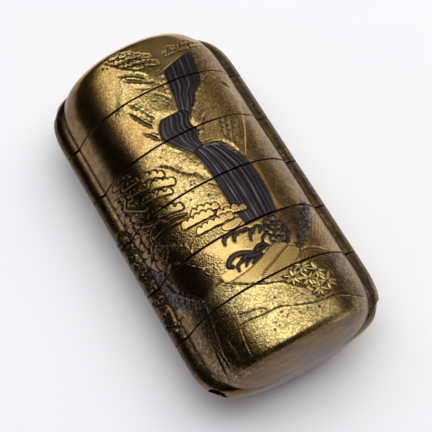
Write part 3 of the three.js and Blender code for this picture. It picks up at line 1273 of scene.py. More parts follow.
@dataclass
class SkyBranches:
    """The smooth sky and the pine boughs that reach into it from both sides."""

    left_pads: tuple[PinePad, ...] = (
        PinePad(-5.4, 42.7, 3.0, -4.0, 2, 0.56, 0.22),
        PinePad(-3.0, 42.0, 3.2, -18.0, 3, 0.54, 0.22),
        PinePad(-4.8, 40.9, 3.4, -12.0, 3, 0.56, 0.22),
        PinePad(-1.6, 40.9, 3.6, -20.0, 3, 0.56, 0.22),
        PinePad(1.0, 39.7, 3.2, -26.0, 3, 0.52, 0.22),
        PinePad(-3.0, 39.0, 3.4, -8.0, 3, 0.54, 0.22),
        PinePad(0.0, 38.5, 3.8, -18.0, 3, 0.56, 0.22),
        PinePad(-1.6, 37.3, 3.0, -16.0, 2, 0.52, 0.22),
        PinePad(1.6, 36.9, 3.4, -24.0, 3, 0.52, 0.22),
    )
    right_pads: tuple[PinePad, ...] = (
        PinePad(7.4, 37.2, 3.2, 8.0, 3, 0.5, 0.2),
        PinePad(9.2, 38.7, 3.2, -6.0, 3, 0.5, 0.2),
        PinePad(11.2, 37.9, 3.4, 4.0, 3, 0.52, 0.2),
        PinePad(13.0, 39.5, 3.4, 2.0, 3, 0.52, 0.2),
        PinePad(15.2, 38.6, 3.6, 8.0, 3, 0.52, 0.2),
    )
    boughs: tuple[tuple[Points, float], ...] = (
        (((-7.8, 43.4), (-6.2, 41.4), (-5.0, 40.0), (-3.5, 38.4), (-1.8, 36.8), (-0.3, 35.6)), 0.62),
        (((-5.0, 40.0), (-4.6, 40.6), (-2.4, 40.2), (-0.4, 39.8)), 0.36),
        (((-2.7, 38.6), (-1.2, 39.4), (0.6, 39.6), (2.4, 39.2), (4.2, 38.3)), 0.36),
        (((-1.6, 38.0), (0.6, 38.1), (2.4, 37.6), (4.2, 36.9), (5.4, 36.2)), 0.36),
        (((9.6, 37.4), (11.4, 37.9), (13.4, 38.9), (16.8, 39.4), (19.6, 40.2)), 0.34),
    )

    def draw(self, plate: Plate) -> None:
        """Draws the sky's smooth gold, then pads, boughs and twigs.

        Args:
            plate: The plate drawn on.
        """
        Bed(
            ((1.0, 46.0), (13.0, 46.0), (20.0, 44.0), (20.0, 40.0), (13.5, 37.0), (5.5, 34.0), (3.0, 38.0)),
            height=0.0, edge=1.2, tone=0.66, grain=0.12,
        ).draw(plate)
        for pad in (*self.left_pads, *self.right_pads):
            pad.draw(plate)
        for anchors, width in self.boughs:
            fold(anchors, width, 0.08, 0.95, 1.4).draw(plate)


@dataclass
class Pine:
    """The great pine: cushions on limbs that step down to the right and reach over the fall."""

    high: tuple[PinePad, ...] = (
        PinePad(-19.8, 13.6, 4.4, -6.0, 3, 0.66),
        PinePad(-18.2, 11.7, 4.2, -12.0, 3, 0.66),
        PinePad(-12.8, 10.1, 4.9, -28.0, 3, 0.8),
        PinePad(-17.4, 9.2, 3.8, -14.0, 2, 0.68),
        PinePad(-14.6, 8.4, 4.6, -20.0, 3, 0.74),
        PinePad(-12.4, 7.1, 5.8, -25.0, 4, 0.84),
        PinePad(-15.6, 5.4, 4.2, -14.0, 3, 0.7),
        PinePad(-12.2, 4.3, 3.6, -22.0, 2, 0.66),
        PinePad(-16.4, 1.4, 3.6, -12.0, 2, 0.66),
    )
    low: tuple[PinePad, ...] = (
        PinePad(-13.8, 0.0, 5.6, -20.0, 3, 0.84),
        PinePad(-7.8, -4.8, 6.8, -12.0, 4, 0.9),
        PinePad(-11.0, -6.3, 8.0, -5.0, 5, 0.9),
        PinePad(-2.6, -8.1, 7.3, -12.0, 4, 0.86),
        PinePad(-8.8, -9.5, 9.5, -3.0, 6, 0.86),
    )
    limbs: tuple[tuple[Points, float], ...] = (
        (((-19.8, 10.4), (-18.7, 9.2), (-19.9, 7.4), (-18.2, 5.2), (-16.2, 3.2)), 1.0),
        (((-20.0, 2.4), (-18.6, 0.6), (-16.6, -0.6), (-14.4, -1.4)), 0.9),
        (((-14.6, -1.2), (-13.4, -2.6), (-11.4, -3.1), (-9.2, -4.0)), 0.7),
        (((-19.6, -6.0), (-18.4, -4.6), (-15.0, -4.2), (-12.0, -4.4), (-9.8, -5.2)), 1.2),
        (((-18.6, -5.0), (-18.2, -3.0), (-16.8, -1.6)), 0.8),
    )

    def draw(self, plate: Plate, rng: Dice) -> None:
        """Draws the cushions and limbs from the top down, each over the last.

        Args:
            plate: The plate drawn on.
            rng: Source of the random draws.
        """
        for pad in self.high:
            pad.draw(plate)
        for column in range(2):
            for row in range(11):
                x = -21.0 + 1.7 * column + float(rng.uniform(-0.3, 0.3))
                y = 11.0 - 1.95 * row - 0.9 * column
                PinePad(
                    x, y, float(rng.uniform(2.2, 3.0)), float(rng.uniform(-96, -58)), 2, 0.62
                ).draw(plate)
        for anchors, width in self.limbs:
            RoundStroke(anchors, width, 0.0, 0.0, 0.3, 0.5, 0.9).draw(plate)
        Bed(
            ((-3.9, -11.2), (-1.0, -10.6), (1.4, -11.2), (1.6, -12.6), (-1.0, -13.5), (-3.6, -12.8)),
            height=0.22, edge=0.3, tone=0.75, grain=0.1,
        ).draw(plate)
        for pad in self.low:
            pad.draw(plate)


@dataclass
class DarkGrove:
    """The slope under the pine, with painted shade down the left side: a smooth mound, a thicket beside it,
    bare twigs, and beads of moss.
    """

    mound: Points = (
        (-20.4, -14.6), (-18.6, -11.2), (-15.6, -13.2), (-12.4, -16.4), (-10.8, -21.6), (-12.6, -24.2),
        (-16.4, -23.8), (-19.4, -20.0),
    )
    moss: tuple[Points, ...] = (
        ((-10.4, -10.2), (-6.0, -10.3), (-2.8, -10.9), (-4.2, -12.0), (-4.0, -13.6), (-11.0, -13.6)),
        ((-16.6, -5.6), (-12.6, -5.4), (-9.4, -8.0), (-9.6, -12.4), (-13.6, -12.6), (-16.0, -9.6)),
        ((-13.6, -14.0), (-10.4, -14.4), (-7.4, -18.0), (-7.4, -21.4), (-11.4, -22.0), (-12.6, -17.4)),
    )
    twigs: tuple[Points, ...] = (
        ((-12.9, -13.5), (-12.2, -12.2), (-10.9, -11.0), (-9.7, -10.2), (-8.5, -11.4)),
        ((-12.9, -10.0), (-12.9, -11.0), (-12.6, -11.9)),
        ((-15.0, -14.0), (-13.5, -16.3), (-12.0, -17.8), (-10.6, -18.7)),
        ((-12.2, -18.0), (-12.0, -19.4), (-11.4, -20.4)),
        ((-16.4, -7.4), (-14.4, -9.4), (-13.2, -10.6)),
    )
    outline: tuple[Points, ...] = (
        ((-20.4, -13.2), (-18.6, -11.0), (-17.2, -12.4), (-16.0, -13.3)),
        ((-20.8, -14.4), (-20.2, -17.4), (-18.6, -20.4), (-16.4, -23.6)),
        ((-17.0, -6.6), (-18.2, -8.8), (-19.6, -9.4)),
    )
    thicket: Points = (
        (-21.4, -7.0), (-21.3, -13.0), (-20.9, -17.0), (-19.9, -20.6), (-18.2, -23.4), (-15.8, -25.2),
        (-13.4, -25.6),
    )

    def draw(self, plate: Plate, rng: Dice) -> None:
        """Draws painted shade down the left side, then the mound, moss, twigs and the thicket.

        Args:
            plate: The plate drawn on.
            rng: Source of the random draws.
        """
        # painted shade: lowers the gold's tone over the left side, standing in for its dark reflection
        Bed(
            ((-22.5, 20.0), (-13.0, 20.0), (-11.5, 2.0), (-11.5, -24.0), (-22.5, -24.0)), 0.0, 2.0, tone=0.3
        ).draw(plate)
        for outline in self.moss:
            Stipple(outline, 0.5, 0.21, 0.09, 0.75).draw(plate, rng)
        Bed(self.mound, height=0.28, edge=0.6, tone=0.16, grain=0.15).draw(plate)
        Hatch(self.mound, ((-21.0, -13.0), (-14.0, -25.5)), spacing=0.6, depth=0.012, ink=0.12).draw(plate)
        for anchors in self.outline:
            ridge(anchors, 0.8, 0.22, 0.25).draw(plate)
            fold([(x + 0.55, y - 0.55) for x, y in anchors], 0.6, 0.14, 0.85).draw(plate)
        for anchors in self.twigs:
            ridge(anchors, 0.34, 0.16, 0.7).draw(plate)
        BeadBand(self.thicket, 0.42, 6, 0.75, (0.18, 0.36), (0.0, 0.0, 0.1, 0.7)).draw(plate, rng)
        self.rib_leaves(plate, rng)

    @staticmethod
    def rib_leaves(plate: Plate, rng: Dice) -> None:
        """Draws the leaves that run over the left rib.

        Args:
            plate: The plate drawn on.
            rng: Source of the random draws.
        """
        for y in np.arange(4.5, -25.0, -0.45):
            for _ in range(4):
                x = float(rng.uniform(-25.4, -21.6))
                turn = math.radians(float(rng.uniform(-80, 40)))
                Stroke(
                    ((x, y), (x + 0.9 * math.cos(turn), y + 0.9 * math.sin(turn))),
                    width=0.5,
                    height=0.12,
                    ink=float(rng.choice([0.0, 0.0, 0.9, 0.95])),
                    taper=0.3,
                    gild=float(rng.uniform(0.0, 0.4)),
                ).draw(plate)


@dataclass
class Foam:
    """Spray and curls at the foot of the fall."""

    hooks: tuple[tuple[Points, float, float], ...] = (
        (
            ((-1.4, -14.5), (-1.8, -14.0), (-3.0, -13.9), (-4.2, -14.2), (-4.9, -15.0), (-5.1, -15.8)),
            0.95, 0.08,
        ),
        (((0.8, -14.9), (-0.6, -14.6), (-1.8, -14.8), (-2.4, -15.4), (-2.6, -16.1)), 0.95, 0.1),
        (((2.0, -15.3), (1.2, -14.7), (0.0, -14.6)), 0.8, 0.1),
        (((2.4, -15.4), (1.9, -15.9), (1.3, -16.6), (0.9, -17.7)), 0.85, 0.15),
        (((4.8, -15.6), (3.8, -15.2), (2.9, -15.5), (2.2, -16.3)), 0.75, 0.1),
        (((6.2, -16.4), (5.2, -16.0), (4.4, -16.1), (3.6, -16.9)), 0.75, 0.15),
        (((5.8, -18.9), (5.0, -18.1), (4.0, -18.2), (3.3, -19.0), (3.2, -19.6)), 0.6, 0.0),
        (((3.8, -21.1), (3.0, -20.2), (1.8, -19.9), (0.4, -20.4)), 0.9, 0.05),
        (((3.2, -20.9), (2.2, -20.9), (1.0, -21.3)), 0.9, 0.05),
        (
            (
                (1.2, -22.2), (-0.6, -20.9), (-2.8, -19.7), (-4.8, -19.4), (-6.2, -20.0), (-6.9, -20.9),
                (-6.2, -21.7),
            ),
            1.3, 0.06,
        ),
        (((0.6, -21.9), (-1.0, -21.5), (-2.2, -21.1), (-3.4, -21.1)), 1.3, 0.06),
        (((0.8, -22.4), (-0.6, -22.7), (-1.6, -23.2)), 0.9, 0.05),
        (((-2.8, -21.6), (-4.2, -21.6), (-5.2, -22.2), (-5.4, -23.3)), 0.8, 0.08),
        (((-1.4, -22.0), (-2.6, -22.3), (-3.4, -23.1)), 0.7, 0.08),
        (((8.0, -22.4), (8.8, -21.6), (9.4, -20.6), (10.0, -19.4)), 0.8, 0.1),
    )
    curls: tuple[tuple[float, float, float, int], ...] = (
        (6.9, -15.4, 1.0, 1),
        (8.6, -15.0, 1.15, 1),
        (5.6, -16.9, 0.8, 1),
        (7.4, -17.1, 0.9, 1),
        (9.2, -16.9, 1.0, -1),
        (6.0, -19.8, 1.05, 1),
        (7.9, -18.9, 1.1, 1),
        (9.6, -18.8, 0.9, -1),
        (8.2, -20.9, 0.9, 1),
        (-2.2, -21.5, 0.7, 1),
    )

    def draw(self, plate: Plate) -> None:
        """Draws the calm water round the curls, then the hooks and the curls.

        Args:
            plate: The plate drawn on.
        """
        Bed(
            ((-10.0, -14.0), (10.0, -14.0), (9.0, -21.0), (-1.0, -23.5), (-9.5, -24.4), (-10.4, -19.0)),
            height=0.04, edge=0.8, tone=0.7, grain=0.25,
        ).draw(plate)
        Bed(
            ((10.4, -14.0), (17.4, -14.0), (14.4, -20.0), (10.6, -22.4), (9.4, -18.0)), 0.1, 0.8, 0.2, 0.3,
        ).draw(plate)
        self.shade(plate)
        for anchors, width, silver in self.hooks:
            RoundStroke(anchors, width, 0.95, silver).draw(plate)
        for x, y, radius, side in self.curls:
            RoundStroke(hook(x, y, radius, side), 0.5, 0.95, 0.32, 0.34).draw(plate)

    @staticmethod
    def shade(plate: Plate) -> None:
        """Lays a broken veil of charcoal powder under the thick of the curls.

        Args:
            plate: The plate drawn on.
        """
        outline = (
            (5.0, -14.2), (9.8, -13.8), (10.8, -16.4), (10.4, -20.4), (8.4, -22.2), (5.0, -20.9),
            (6.4, -18.0), (5.0, -15.8),
        )
        patch, depth = plate.depth_in(closed_spline(outline), 0.6)
        veil = 0.62 + 0.2 * np.sin(patch.x * 5.1 + 1.3 * np.sin(patch.y * 4.3))
        plate.blend(Layer.FALL, patch, veil * ease(0.5 + depth), 0.95)


@dataclass
class Streams:
    """Combed swells of running water, and the leafy bank at the right.

    Attributes:
        leaves: Line of the leafy bank.
    """

    leaves: Points = ((18.8, -13.6), (17.2, -16.0), (15.6, -18.8), (13.8, -21.2), (10.4, -24.0))

    def draw(self, plate: Plate, rng: Dice) -> None:
        """Draws the swells, their combing and the leaves of the bank.

        Args:
            plate: The plate drawn on.
            rng: Source of the random draws.
        """
        first = (
            (-9.0, -24.4), (-3.0, -23.9), (0.0, -23.0), (4.0, -21.2), (6.0, -21.0), (8.0, -22.6),
            (3.0, -24.8), (-2.0, -27.0), (-5.0, -27.4),
        )
        second = (
            (-2.2, -27.2), (3.0, -25.0), (7.9, -22.9), (10.2, -24.4), (10.2, -25.4), (8.4, -27.0),
            (5.0, -29.4), (0.0, -29.8),
        )
        third = (
            (8.6, -27.0), (10.6, -25.4), (12.6, -25.2), (16.4, -27.2), (19.6, -28.6), (17.0, -31.0),
            (9.0, -29.4),
        )
        for outline, tone in ((first, 0.72), (second, 0.7), (third, 0.42)):
            Bed(outline, 0.16, 0.35, tone, 0.12).draw(plate)
        Hatch(first, ((-9.0, -24.2), (-1.0, -23.1), (4.6, -20.9), (8.4, -22.4)), 0.5, 0.07, 0.6).draw(plate)
        Hatch(second, ((0.0, -26.4), (7.9, -22.7), (10.6, -24.6)), 0.5, 0.07, 0.6).draw(plate)
        Hatch(third, ((8.6, -26.8), (11.6, -24.8), (19.0, -28.2)), 0.75, 0.08, 0.55).draw(plate)
        for anchors, width in (
            (((-9.4, -24.5), (-6.0, -24.4), (-3.0, -24.0), (0.0, -23.1), (2.6, -21.9)), 0.3),
            (((8.0, -22.8), (5.4, -23.8), (2.4, -25.2), (-1.4, -26.8)), 0.34),
            (((8.0, -22.9), (9.6, -23.9), (10.3, -25.0), (8.8, -26.6), (7.2, -27.5)), 0.34),
            (((10.4, -25.5), (12.4, -25.4), (15.0, -26.8), (18.0, -28.0)), 0.3),
        ):
            fold(anchors, width, 0.1, 0.7).draw(plate)
        ridge(((10.0, -25.2), (11.6, -24.9), (13.6, -25.5), (16.4, -27.0)), 0.4, 0.1, 0.5).draw(plate)
        BeadBand(self.leaves, 0.4, 7, 0.6, (0.2, 0.42), (0.0, 0.0, 0.2, 0.6)).draw(plate, rng)
        Hatch(
            ((18.0, -15.0), (21.0, -14.0), (21.0, -26.0), (14.0, -23.0)), ((21.5, -13.0), (13.0, -24.5)),
            0.9, 0.05, 0.3,
        ).draw(plate)


@dataclass
class NearBank:
    """The near shore with its terraces, the bamboo grass on it, and grass in the lower left."""

    tufts: tuple[tuple[float, float, tuple[float, ...]], ...] = (
        (4.9, -30.8, (150.0, 182.0, 206.0, 244.0, 18.0, 50.0, -22.0, -50.0, -78.0, 92.0)),
        (8.1, -28.8, (-118.0, -88.0, -58.0, -30.0, -6.0, 188.0, 160.0)),
        (8.0, -32.6, (226.0, 200.0, -58.0, -88.0, -28.0, 10.0, 160.0, 120.0, 44.0)),
        (9.2, -35.6, (112.0, 150.0, -92.0, -128.0, -44.0, 30.0, -162.0, 76.0)),
        (11.8, -34.8, (-170.0, -100.0, -60.0, -24.0, 160.0, 110.0, 60.0)),
        (11.0, -31.4, (-150.0, -110.0, -70.0, -34.0, 150.0, 100.0)),
    )
    sand: Points = (
        (-12.4, -24.2), (-8.6, -24.4), (-8.2, -33.0), (-8.6, -42.8), (-15.4, -42.8), (-18.4, -26.4),
        (-15.0, -25.8),
    )

    def draw(self, plate: Plate, rng: Dice) -> None:
        """Draws the shore beds, their lines, and the grass.

        Args:
            plate: The plate drawn on.
            rng: Source of the random draws.
        """
        Bed(
            (
                (-16.0, -24.2), (-10.4, -23.0), (-5.0, -27.2), (1.8, -30.0), (6.2, -34.6), (8.4, -38.4),
                (16.0, -40.2), (15.0, -46.0), (-16.0, -46.0),
            ),
            height=0.18, edge=0.5, tone=0.95, grain=0.85,
        ).draw(plate)
        Bed(
            ((9.0, -30.0), (22.0, -29.0), (22.0, -44.5), (13.0, -44.5), (10.0, -39.0)), 0.1, 1.6, 0.28, 0.5,
        ).draw(plate)
        Bed(
            ((-22.5, -28.0), (-13.0, -28.0), (-11.0, -45.0), (-22.5, -45.0)), 0.1, 1.8, 0.2, 0.6,
        ).draw(plate)
        for anchors, width in (
            (
                (
                    (-16.0, -24.3), (-13.0, -23.6), (-10.5, -23.0), (-9.5, -24.1), (-7.0, -26.0),
                    (-5.0, -27.3),
                ),
                0.5,
            ),
            (((-5.0, -27.3), (-2.0, -29.0), (1.5, -30.3), (4.0, -32.7), (6.0, -34.4)), 0.42),
            (((-11.2, -32.2), (-8.8, -33.0), (-6.4, -33.5), (-4.9, -34.4), (-4.3, -35.4)), 0.3),
            (((-12.4, -34.6), (-9.0, -34.9), (-6.0, -35.4), (-2.0, -35.6), (1.0, -36.8)), 0.34),
            (((1.0, -36.8), (5.0, -38.3), (8.0, -38.8), (12.0, -38.9), (16.0, -40.2), (19.0, -40.8)), 0.4),
        ):
            fold(anchors, width, 0.12, 0.85).draw(plate)
            ridge([(x, y - 0.42) for x, y in anchors], 0.5, 0.07, 0.2).draw(plate)
        Bed(
            (
                (2.4, -30.8), (5.0, -28.8), (11.4, -28.4), (14.4, -32.6), (13.0, -37.6), (8.6, -37.6),
                (5.6, -33.6),
            ),
            height=0.16, edge=0.5, tone=0.3, grain=0.2,
        ).draw(plate)
        for x, y, angles in self.tufts:
            for angle in angles:
                reach = float(rng.uniform(2.0, 2.9))
                turn = angle + float(rng.uniform(-6, 6))
                GrassLeaf(x, y, turn, reach, float(rng.uniform(0.62, 0.8))).draw(plate)
        self.blades(plate, rng)
        Stipple(self.sand, 0.46, 0.19, 0.05, 0.45).draw(plate, rng)

    @staticmethod
    def blades(plate: Plate, rng: Dice) -> None:
        """Draws tall grass and a low fence of stems in the dark lower left.

        Args:
            plate: The plate drawn on.
            rng: Source of the random draws.
        """
        for x, lean in ((-19.4, 0.5), (-18.0, -0.9), (-15.2, -0.6), (-13.0, 1.1)):
            top = float(rng.uniform(-36.5, -33.0))
            anchors = ((x, -43.0), (x + 0.3 * lean, -0.5 * (43.0 - top)), (x + lean, top))
            ridge(anchors, 0.34, 0.09, 0.14, 3.0).draw(plate)
            fold([(a + 0.34, b) for a, b in anchors], 0.3, 0.08, 0.8, 3.0).draw(plate)


@dataclass
class WearAndChips:
    """Age: dark chips through the gold, small plant dots, and soft unevenness of the ground.

    Attributes:
        chips: Place and size of each chip.
        nicks: Line of each short scratch.
        dots: Start of a row of paired dots, and the step from one pair to the next.
        pairs: Pairs of dots in it.
    """

    chips: tuple[tuple[float, float, float], ...] = (
        (-8.3, 41.6, 0.6), (-7.3, 41.0, 0.42), (-1.3, 26.5, 0.5), (0.0, 26.6, 0.3), (0.7, 25.5, 0.4),
        (1.0, 24.8, 0.45),
        (1.2, 24.2, 0.5), (0.6, 23.9, 0.6), (-4.2, 2.7, 0.5), (-3.4, 2.6, 0.5), (-4.5, 2.0, 0.5),
        (-3.7, 1.9, 0.42),
        (-6.4, 1.3, 0.45), (-4.9, 0.2, 0.55), (-6.5, -1.5, 0.45), (-2.0, -2.5, 0.65), (-8.9, -25.9, 0.42),
        (-1.6, -33.1, 0.4),
        (-6.0, -34.7, 0.32), (4.5, -35.4, 0.5), (-2.0, -37.0, 0.5), (-4.0, -39.6, 0.45), (1.8, -39.2, 0.45),
        (3.8, -39.1, 0.42),
        (6.5, -40.0, 0.62), (-5.5, -40.0, 0.5), (-6.0, 13.8, 0.4), (-4.4, 13.6, 0.36), (-7.4, 12.2, 0.36),
        (-6.6, 10.7, 0.4),
        (12.6, 26.0, 0.4), (12.2, 9.3, 0.4), (11.0, 7.6, 0.36),
    )
    nicks: tuple[Points, ...] = (
        ((-5.0, -38.2), (-4.2, -38.9)),
        ((-1.6, -38.7), (-0.7, -38.1)),
        ((-3.2, 8.7), (-2.2, 8.5)),
        ((-1.6, 8.0), (-0.8, 8.1)),
    )

    dots: Points = ((-5.3, 8.6), (0.06, -0.14))
    pairs: int = 16

    def draw(self, plate: Plate, rng: Dice) -> None:
        """Draws chips and nicks, then a slow unevenness over everything.

        Args:
            plate: The plate drawn on.
            rng: Source of the random draws.
        """
        for x, y, size in self.chips:
            Fleck(x, y, size).draw(plate)
        for anchors in self.nicks:
            fold(anchors, 0.34, 0.06, 0.9, 0.2).draw(plate)
        (x_start, y_start), (x_step, y_step) = self.dots
        for i in range(self.pairs):
            x, y = x_start + x_step * i, y_start + y_step * i
            for side in (-0.18, 0.18):
                Fleck(x + side, y + rng.uniform(-0.06, 0.06), 0.16).draw(plate)
        x, y = np.meshgrid(plate.xs, plate.ys)
        swell = sum(
            np.sin(x * a + y * b + c)
            for a, b, c in rng.uniform(-0.9, 0.9, (9, 3)) * (1, 1, 7)
        )
        plate.layers[Layer.HEIGHT] += (0.006 * swell).astype(np.float32)


@dataclass(frozen=True)
class EdgeWearAndShade:
    """How a face runs out into plain rubbed gold at its ends, with painted shade down its sides, ribs and
    groove.

    Attributes:
        fade: Distances from mid length between which the relief runs out.
        base_tone: Gold tone of the plain base end.
        base_grain: Share of flakes there.
        left_painted_shade: Where painted shade starts on the left side, over what width, and how much of the
            gold's tone it takes.
        right_painted_shade: The same painted shade on the right.
        calm: Where the flakes of the left side start to thin toward the lid, over what length, and how much.
        rib_edge: Inner edge of the ribs, and the width over which their painted shade sets in.
        rib_tone: Gold tone that the ribs are pulled toward: painted shade.
        groove: Line of painted shade in the groove between face and rib, and its width.
        rib_turn: Where the rib turns under and takes painted shade, and over what width.
    """

    fade: tuple[float, float] = (43.2, 45.2)
    base_tone: float = -0.06
    base_grain: float = 0.1
    left_painted_shade: tuple[float, float, float] = (10.5, 6.5, 0.72)
    right_painted_shade: tuple[float, float, float] = (9.0, 9.0, 0.36)
    calm: tuple[float, float, float] = (8.0, 8.0, 0.75)
    rib_edge: tuple[float, float] = (21.6, 0.6)
    rib_tone: float = 0.16
    groove: tuple[float, float] = (22.0, 0.22)
    rib_turn: tuple[float, float] = (23.8, 1.2)

    def apply(self, plate: Plate) -> None:
        """Runs the relief out, wears the gold at the base end, then paints shade down the sides, ribs and
        groove.

        Args:
            plate: The plate drawn on.
        """
        tone, grain, ink = (plate.layers[layer] for layer in (Layer.TONE, Layer.GRAIN, Layer.INK_AND_SHADE))
        across = np.abs(plate.xs)
        start, stop = self.fade
        keep = 1 - ease((np.abs(plate.ys) - start) / (stop - start))[:, None]
        for layer in (Layer.HEIGHT, Layer.FALL, Layer.SILVER, Layer.INK_AND_SHADE):
            plate.layers[layer] *= keep
        lower = ease((-plate.ys - start) / (stop - start))[:, None]
        tone += (self.base_tone - tone) * lower
        grain += (self.base_grain - grain) * lower
        # painted shade: the left side's gold tone is lowered, standing in for the dark reflection there
        start, width, loss = self.left_painted_shade
        left = ease((-plate.xs - start) / width)[None, :]
        tone *= 1 - loss * left
        # painted shade: the right side's gold tone is lowered a little
        start, width, loss = self.right_painted_shade
        tone *= 1 - loss * ease((plate.xs - start) / width)[None, :]
        start, width, loss = self.calm
        grain *= 1 - loss * (left * ease((plate.ys - start) / width)[:, None])
        # painted shade: the ribs' gold tone is pulled down
        start, width = self.rib_edge
        tone += (self.rib_tone - tone) * ease((across - start) / width)[None, :] * 0.8
        # painted shade: a dark line in the groove between face and rib
        line, width = self.groove
        groove_shade = np.exp(-(((across - line) / width) ** 2))[None, :]
        # painted shade: dark on the rib's outer side, where it turns under
        start, width = self.rib_turn
        under = ease((across - start) / width)[None, :]
        ink += (1 - ink) * (np.clip(0.75 * groove_shade + 0.5 * under, 0, 1) * keep)


@dataclass
class PictureFace:
    """The whole picture, drawn back to front."""

    def draw(self) -> Plate:
        """Draws every part of the picture.

        Returns:
            The finished plate.
        """
        rng = np.random.default_rng(SEED)
        plate = Plate()
        LeftCliff().draw(plate, rng)
        RightRock().draw(plate)
        SkyBranches().draw(plate)
        Falls().draw(plate, rng)
        Foam().draw(plate)
        Streams().draw(plate, rng)
        DarkGrove().draw(plate, rng)
        Pine().draw(plate, rng)
        NearBank().draw(plate, rng)
        WearAndChips().draw(plate, rng)
        EdgeWearAndShade().apply(plate)
        return plate


@dataclass
class BackFace:
    """The back: the same gold, plainer, with distant hills and bands of mist."""

    def draw(self) -> Plate:
        """Draws the hills and the mist.

        Returns:
            The finished plate, as seen through the case from the front.
        """
        rng = np.random.default_rng(SEED + 1)
        plate = Plate(cell=0.16)
        for x, y, width, height in (
            (-9.0, 14.0, 22.0, 9.0), (8.0, 10.0, 24.0, 12.0), (0.0, 4.0, 34.0, 7.0),
        ):
            crest = [
                (
                    x + width * (t - 0.5),
                    y + height * math.sin(math.pi * t) * (0.9 + 0.18 * math.sin(17 * t + x)),
                )
                for t in np.linspace(0, 1, 9)
            ]
            Bed([*crest, (x + width / 2, y - 3), (x - width / 2, y - 3)], 0.2, 0.6, 0.55, 0.6).draw(plate)
            fold(crest, 0.5, 0.08, 0.6, 3.0).draw(plate)
        for x, y, width in (
            (-6.0, -8.0, 22.0), (7.0, -12.0, 20.0), (-4.0, -31.0, 26.0), (6.0, 31.0, 22.0),
            (-8.0, 34.0, 16.0),
        ):
            mist = [(x + width * (t - 0.5), y + 0.5 * math.sin(9 * t + y)) for t in np.linspace(0, 1, 7)]
            ridge(mist, 1.1, 0.1, 0.2, 4.0).draw(plate)
        for _ in range(26):
            Fleck(
                float(rng.uniform(-14, 14)), float(rng.uniform(-38, 38)), float(rng.uniform(0.3, 0.6))
            ).draw(plate)
        EdgeWearAndShade().apply(plate)
        return plate


# ---- meshes


class Face(Enum):
    """Material slot of a face."""

    OUTSIDE = 0
    INSIDE = 1


class Cut(Enum):
    """How one solid changes another."""

    JOIN = "UNION"
    CUT = "DIFFERENCE"


@dataclass
class Loft:
    """A closed solid skinned along Y over rings of one kind.

    Attributes:
        ring: The section, as rows of (x, z) about the middle plane.
        axis_z: Height of the middle plane.
        poles: Y of the middle point of each end.
    """

    ring: np.ndarray
    axis_z: float
    poles: tuple[float, float]

    def points(self, stations: np.ndarray) -> np.ndarray:
        """Points of the skin, for stations given as rows of (y, share of width, share of depth).

        Args:
            stations: Rows of (y, share of width, share of depth).

        Returns:
            Rows by ring by (x, y, z).
        """
        x = self.ring[None, :, 0] * stations[:, 1, None]
        z = self.axis_z + self.ring[None, :, 1] * stations[:, 2, None]
        y = np.broadcast_to(stations[:, 0, None], x.shape)
        return np.stack([x, y, z], axis=-1)

    def faces(self, rows: int) -> tuple[np.ndarray, np.ndarray]:
        """Quads of the skin, and triangles of its two ends.

        Args:
            rows: Number of stations.

        Returns:
            The quads, and the triangles.
        """
        n = len(self.ring)
        a = (np.arange(rows - 1)[:, None] * n + np.arange(n)[None, :]).ravel()
        b = (np.arange(rows - 1)[:, None] * n + (np.arange(n)[None, :] + 1) % n).ravel()
        quads = np.column_stack([a, a + n, b + n, b])
        i = np.arange(n)
        j = (i + 1) % n
        low, top = rows * n, (rows - 1) * n
        low_fan = np.column_stack([np.full(n, low), i, j])
        top_fan = np.column_stack([np.full(n, low + 1), top + j, top + i])
        return quads, np.vstack([low_fan, top_fan])

    def build(self, name: str, points: np.ndarray, side: Face, caps: tuple[Face, Face]) -> bpy.types.Object:
        """Makes the mesh object.

        Args:
            name: Name of the object.
            points: Points of the skin, as rows by ring by (x, y, z).
            side: Material of the skin.
            caps: Material of the low end and of the high end.

        Returns:
            The new object, linked to the scene.
        """
        rows, n = points.shape[:2]
        ends = [(0.0, self.poles[0], self.axis_z), (0.0, self.poles[1], self.axis_z)]
        vertices = np.vstack([points.reshape(-1, 3), ends]) * MM
        quads, fans = self.faces(rows)
        mesh = bpy.data.meshes.new(name)
        mesh.vertices.add(len(vertices))
        mesh.vertices.foreach_set("co", vertices.astype(np.float32).ravel())
        loops = np.concatenate([quads.ravel(), fans.ravel()]).astype(np.int32)
        starts = np.concatenate([np.arange(len(quads)) * 4, len(quads) * 4 + np.arange(len(fans)) * 3])
        mesh.loops.add(len(loops))
        mesh.loops.foreach_set("vertex_index", loops)
        mesh.polygons.add(len(starts))
        mesh.polygons.foreach_set("loop_start", starts.astype(np.int32))
        slots = np.concatenate(
            [np.full(len(quads), side.value), np.full(n, caps[0].value), np.full(n, caps[1].value)]
        )
        mesh.polygons.foreach_set("material_index", slots.astype(np.int32))
        mesh.update(calc_edges=True)
        mesh.validate()
        made = bpy.data.objects.new(name, mesh)
        bpy.context.scene.collection.objects.link(made)
        return made


def combine(base: bpy.types.Object, tool: bpy.types.Object, how: Cut) -> None:
    """Joins a tool to a solid or cuts it away, and removes the tool.

    Args:
        base: The solid that changes.
        tool: The solid that is spent.
        how: Join or cut.
    """
    step = base.modifiers.new(how.name, "BOOLEAN")
    step.operation = how.value
    step.solver = "MANIFOLD"
    step.material_mode = "INDEX"
    step.object = tool
    depsgraph = bpy.context.evaluated_depsgraph_get()
    made = bpy.data.meshes.new_from_object(base.evaluated_get(depsgraph))
    base.modifiers.clear()
    spent, used = base.data, tool.data
    base.data = made
    bpy.data.objects.remove(tool)
    bpy.data.meshes.remove(spent)
    bpy.data.meshes.remove(used)


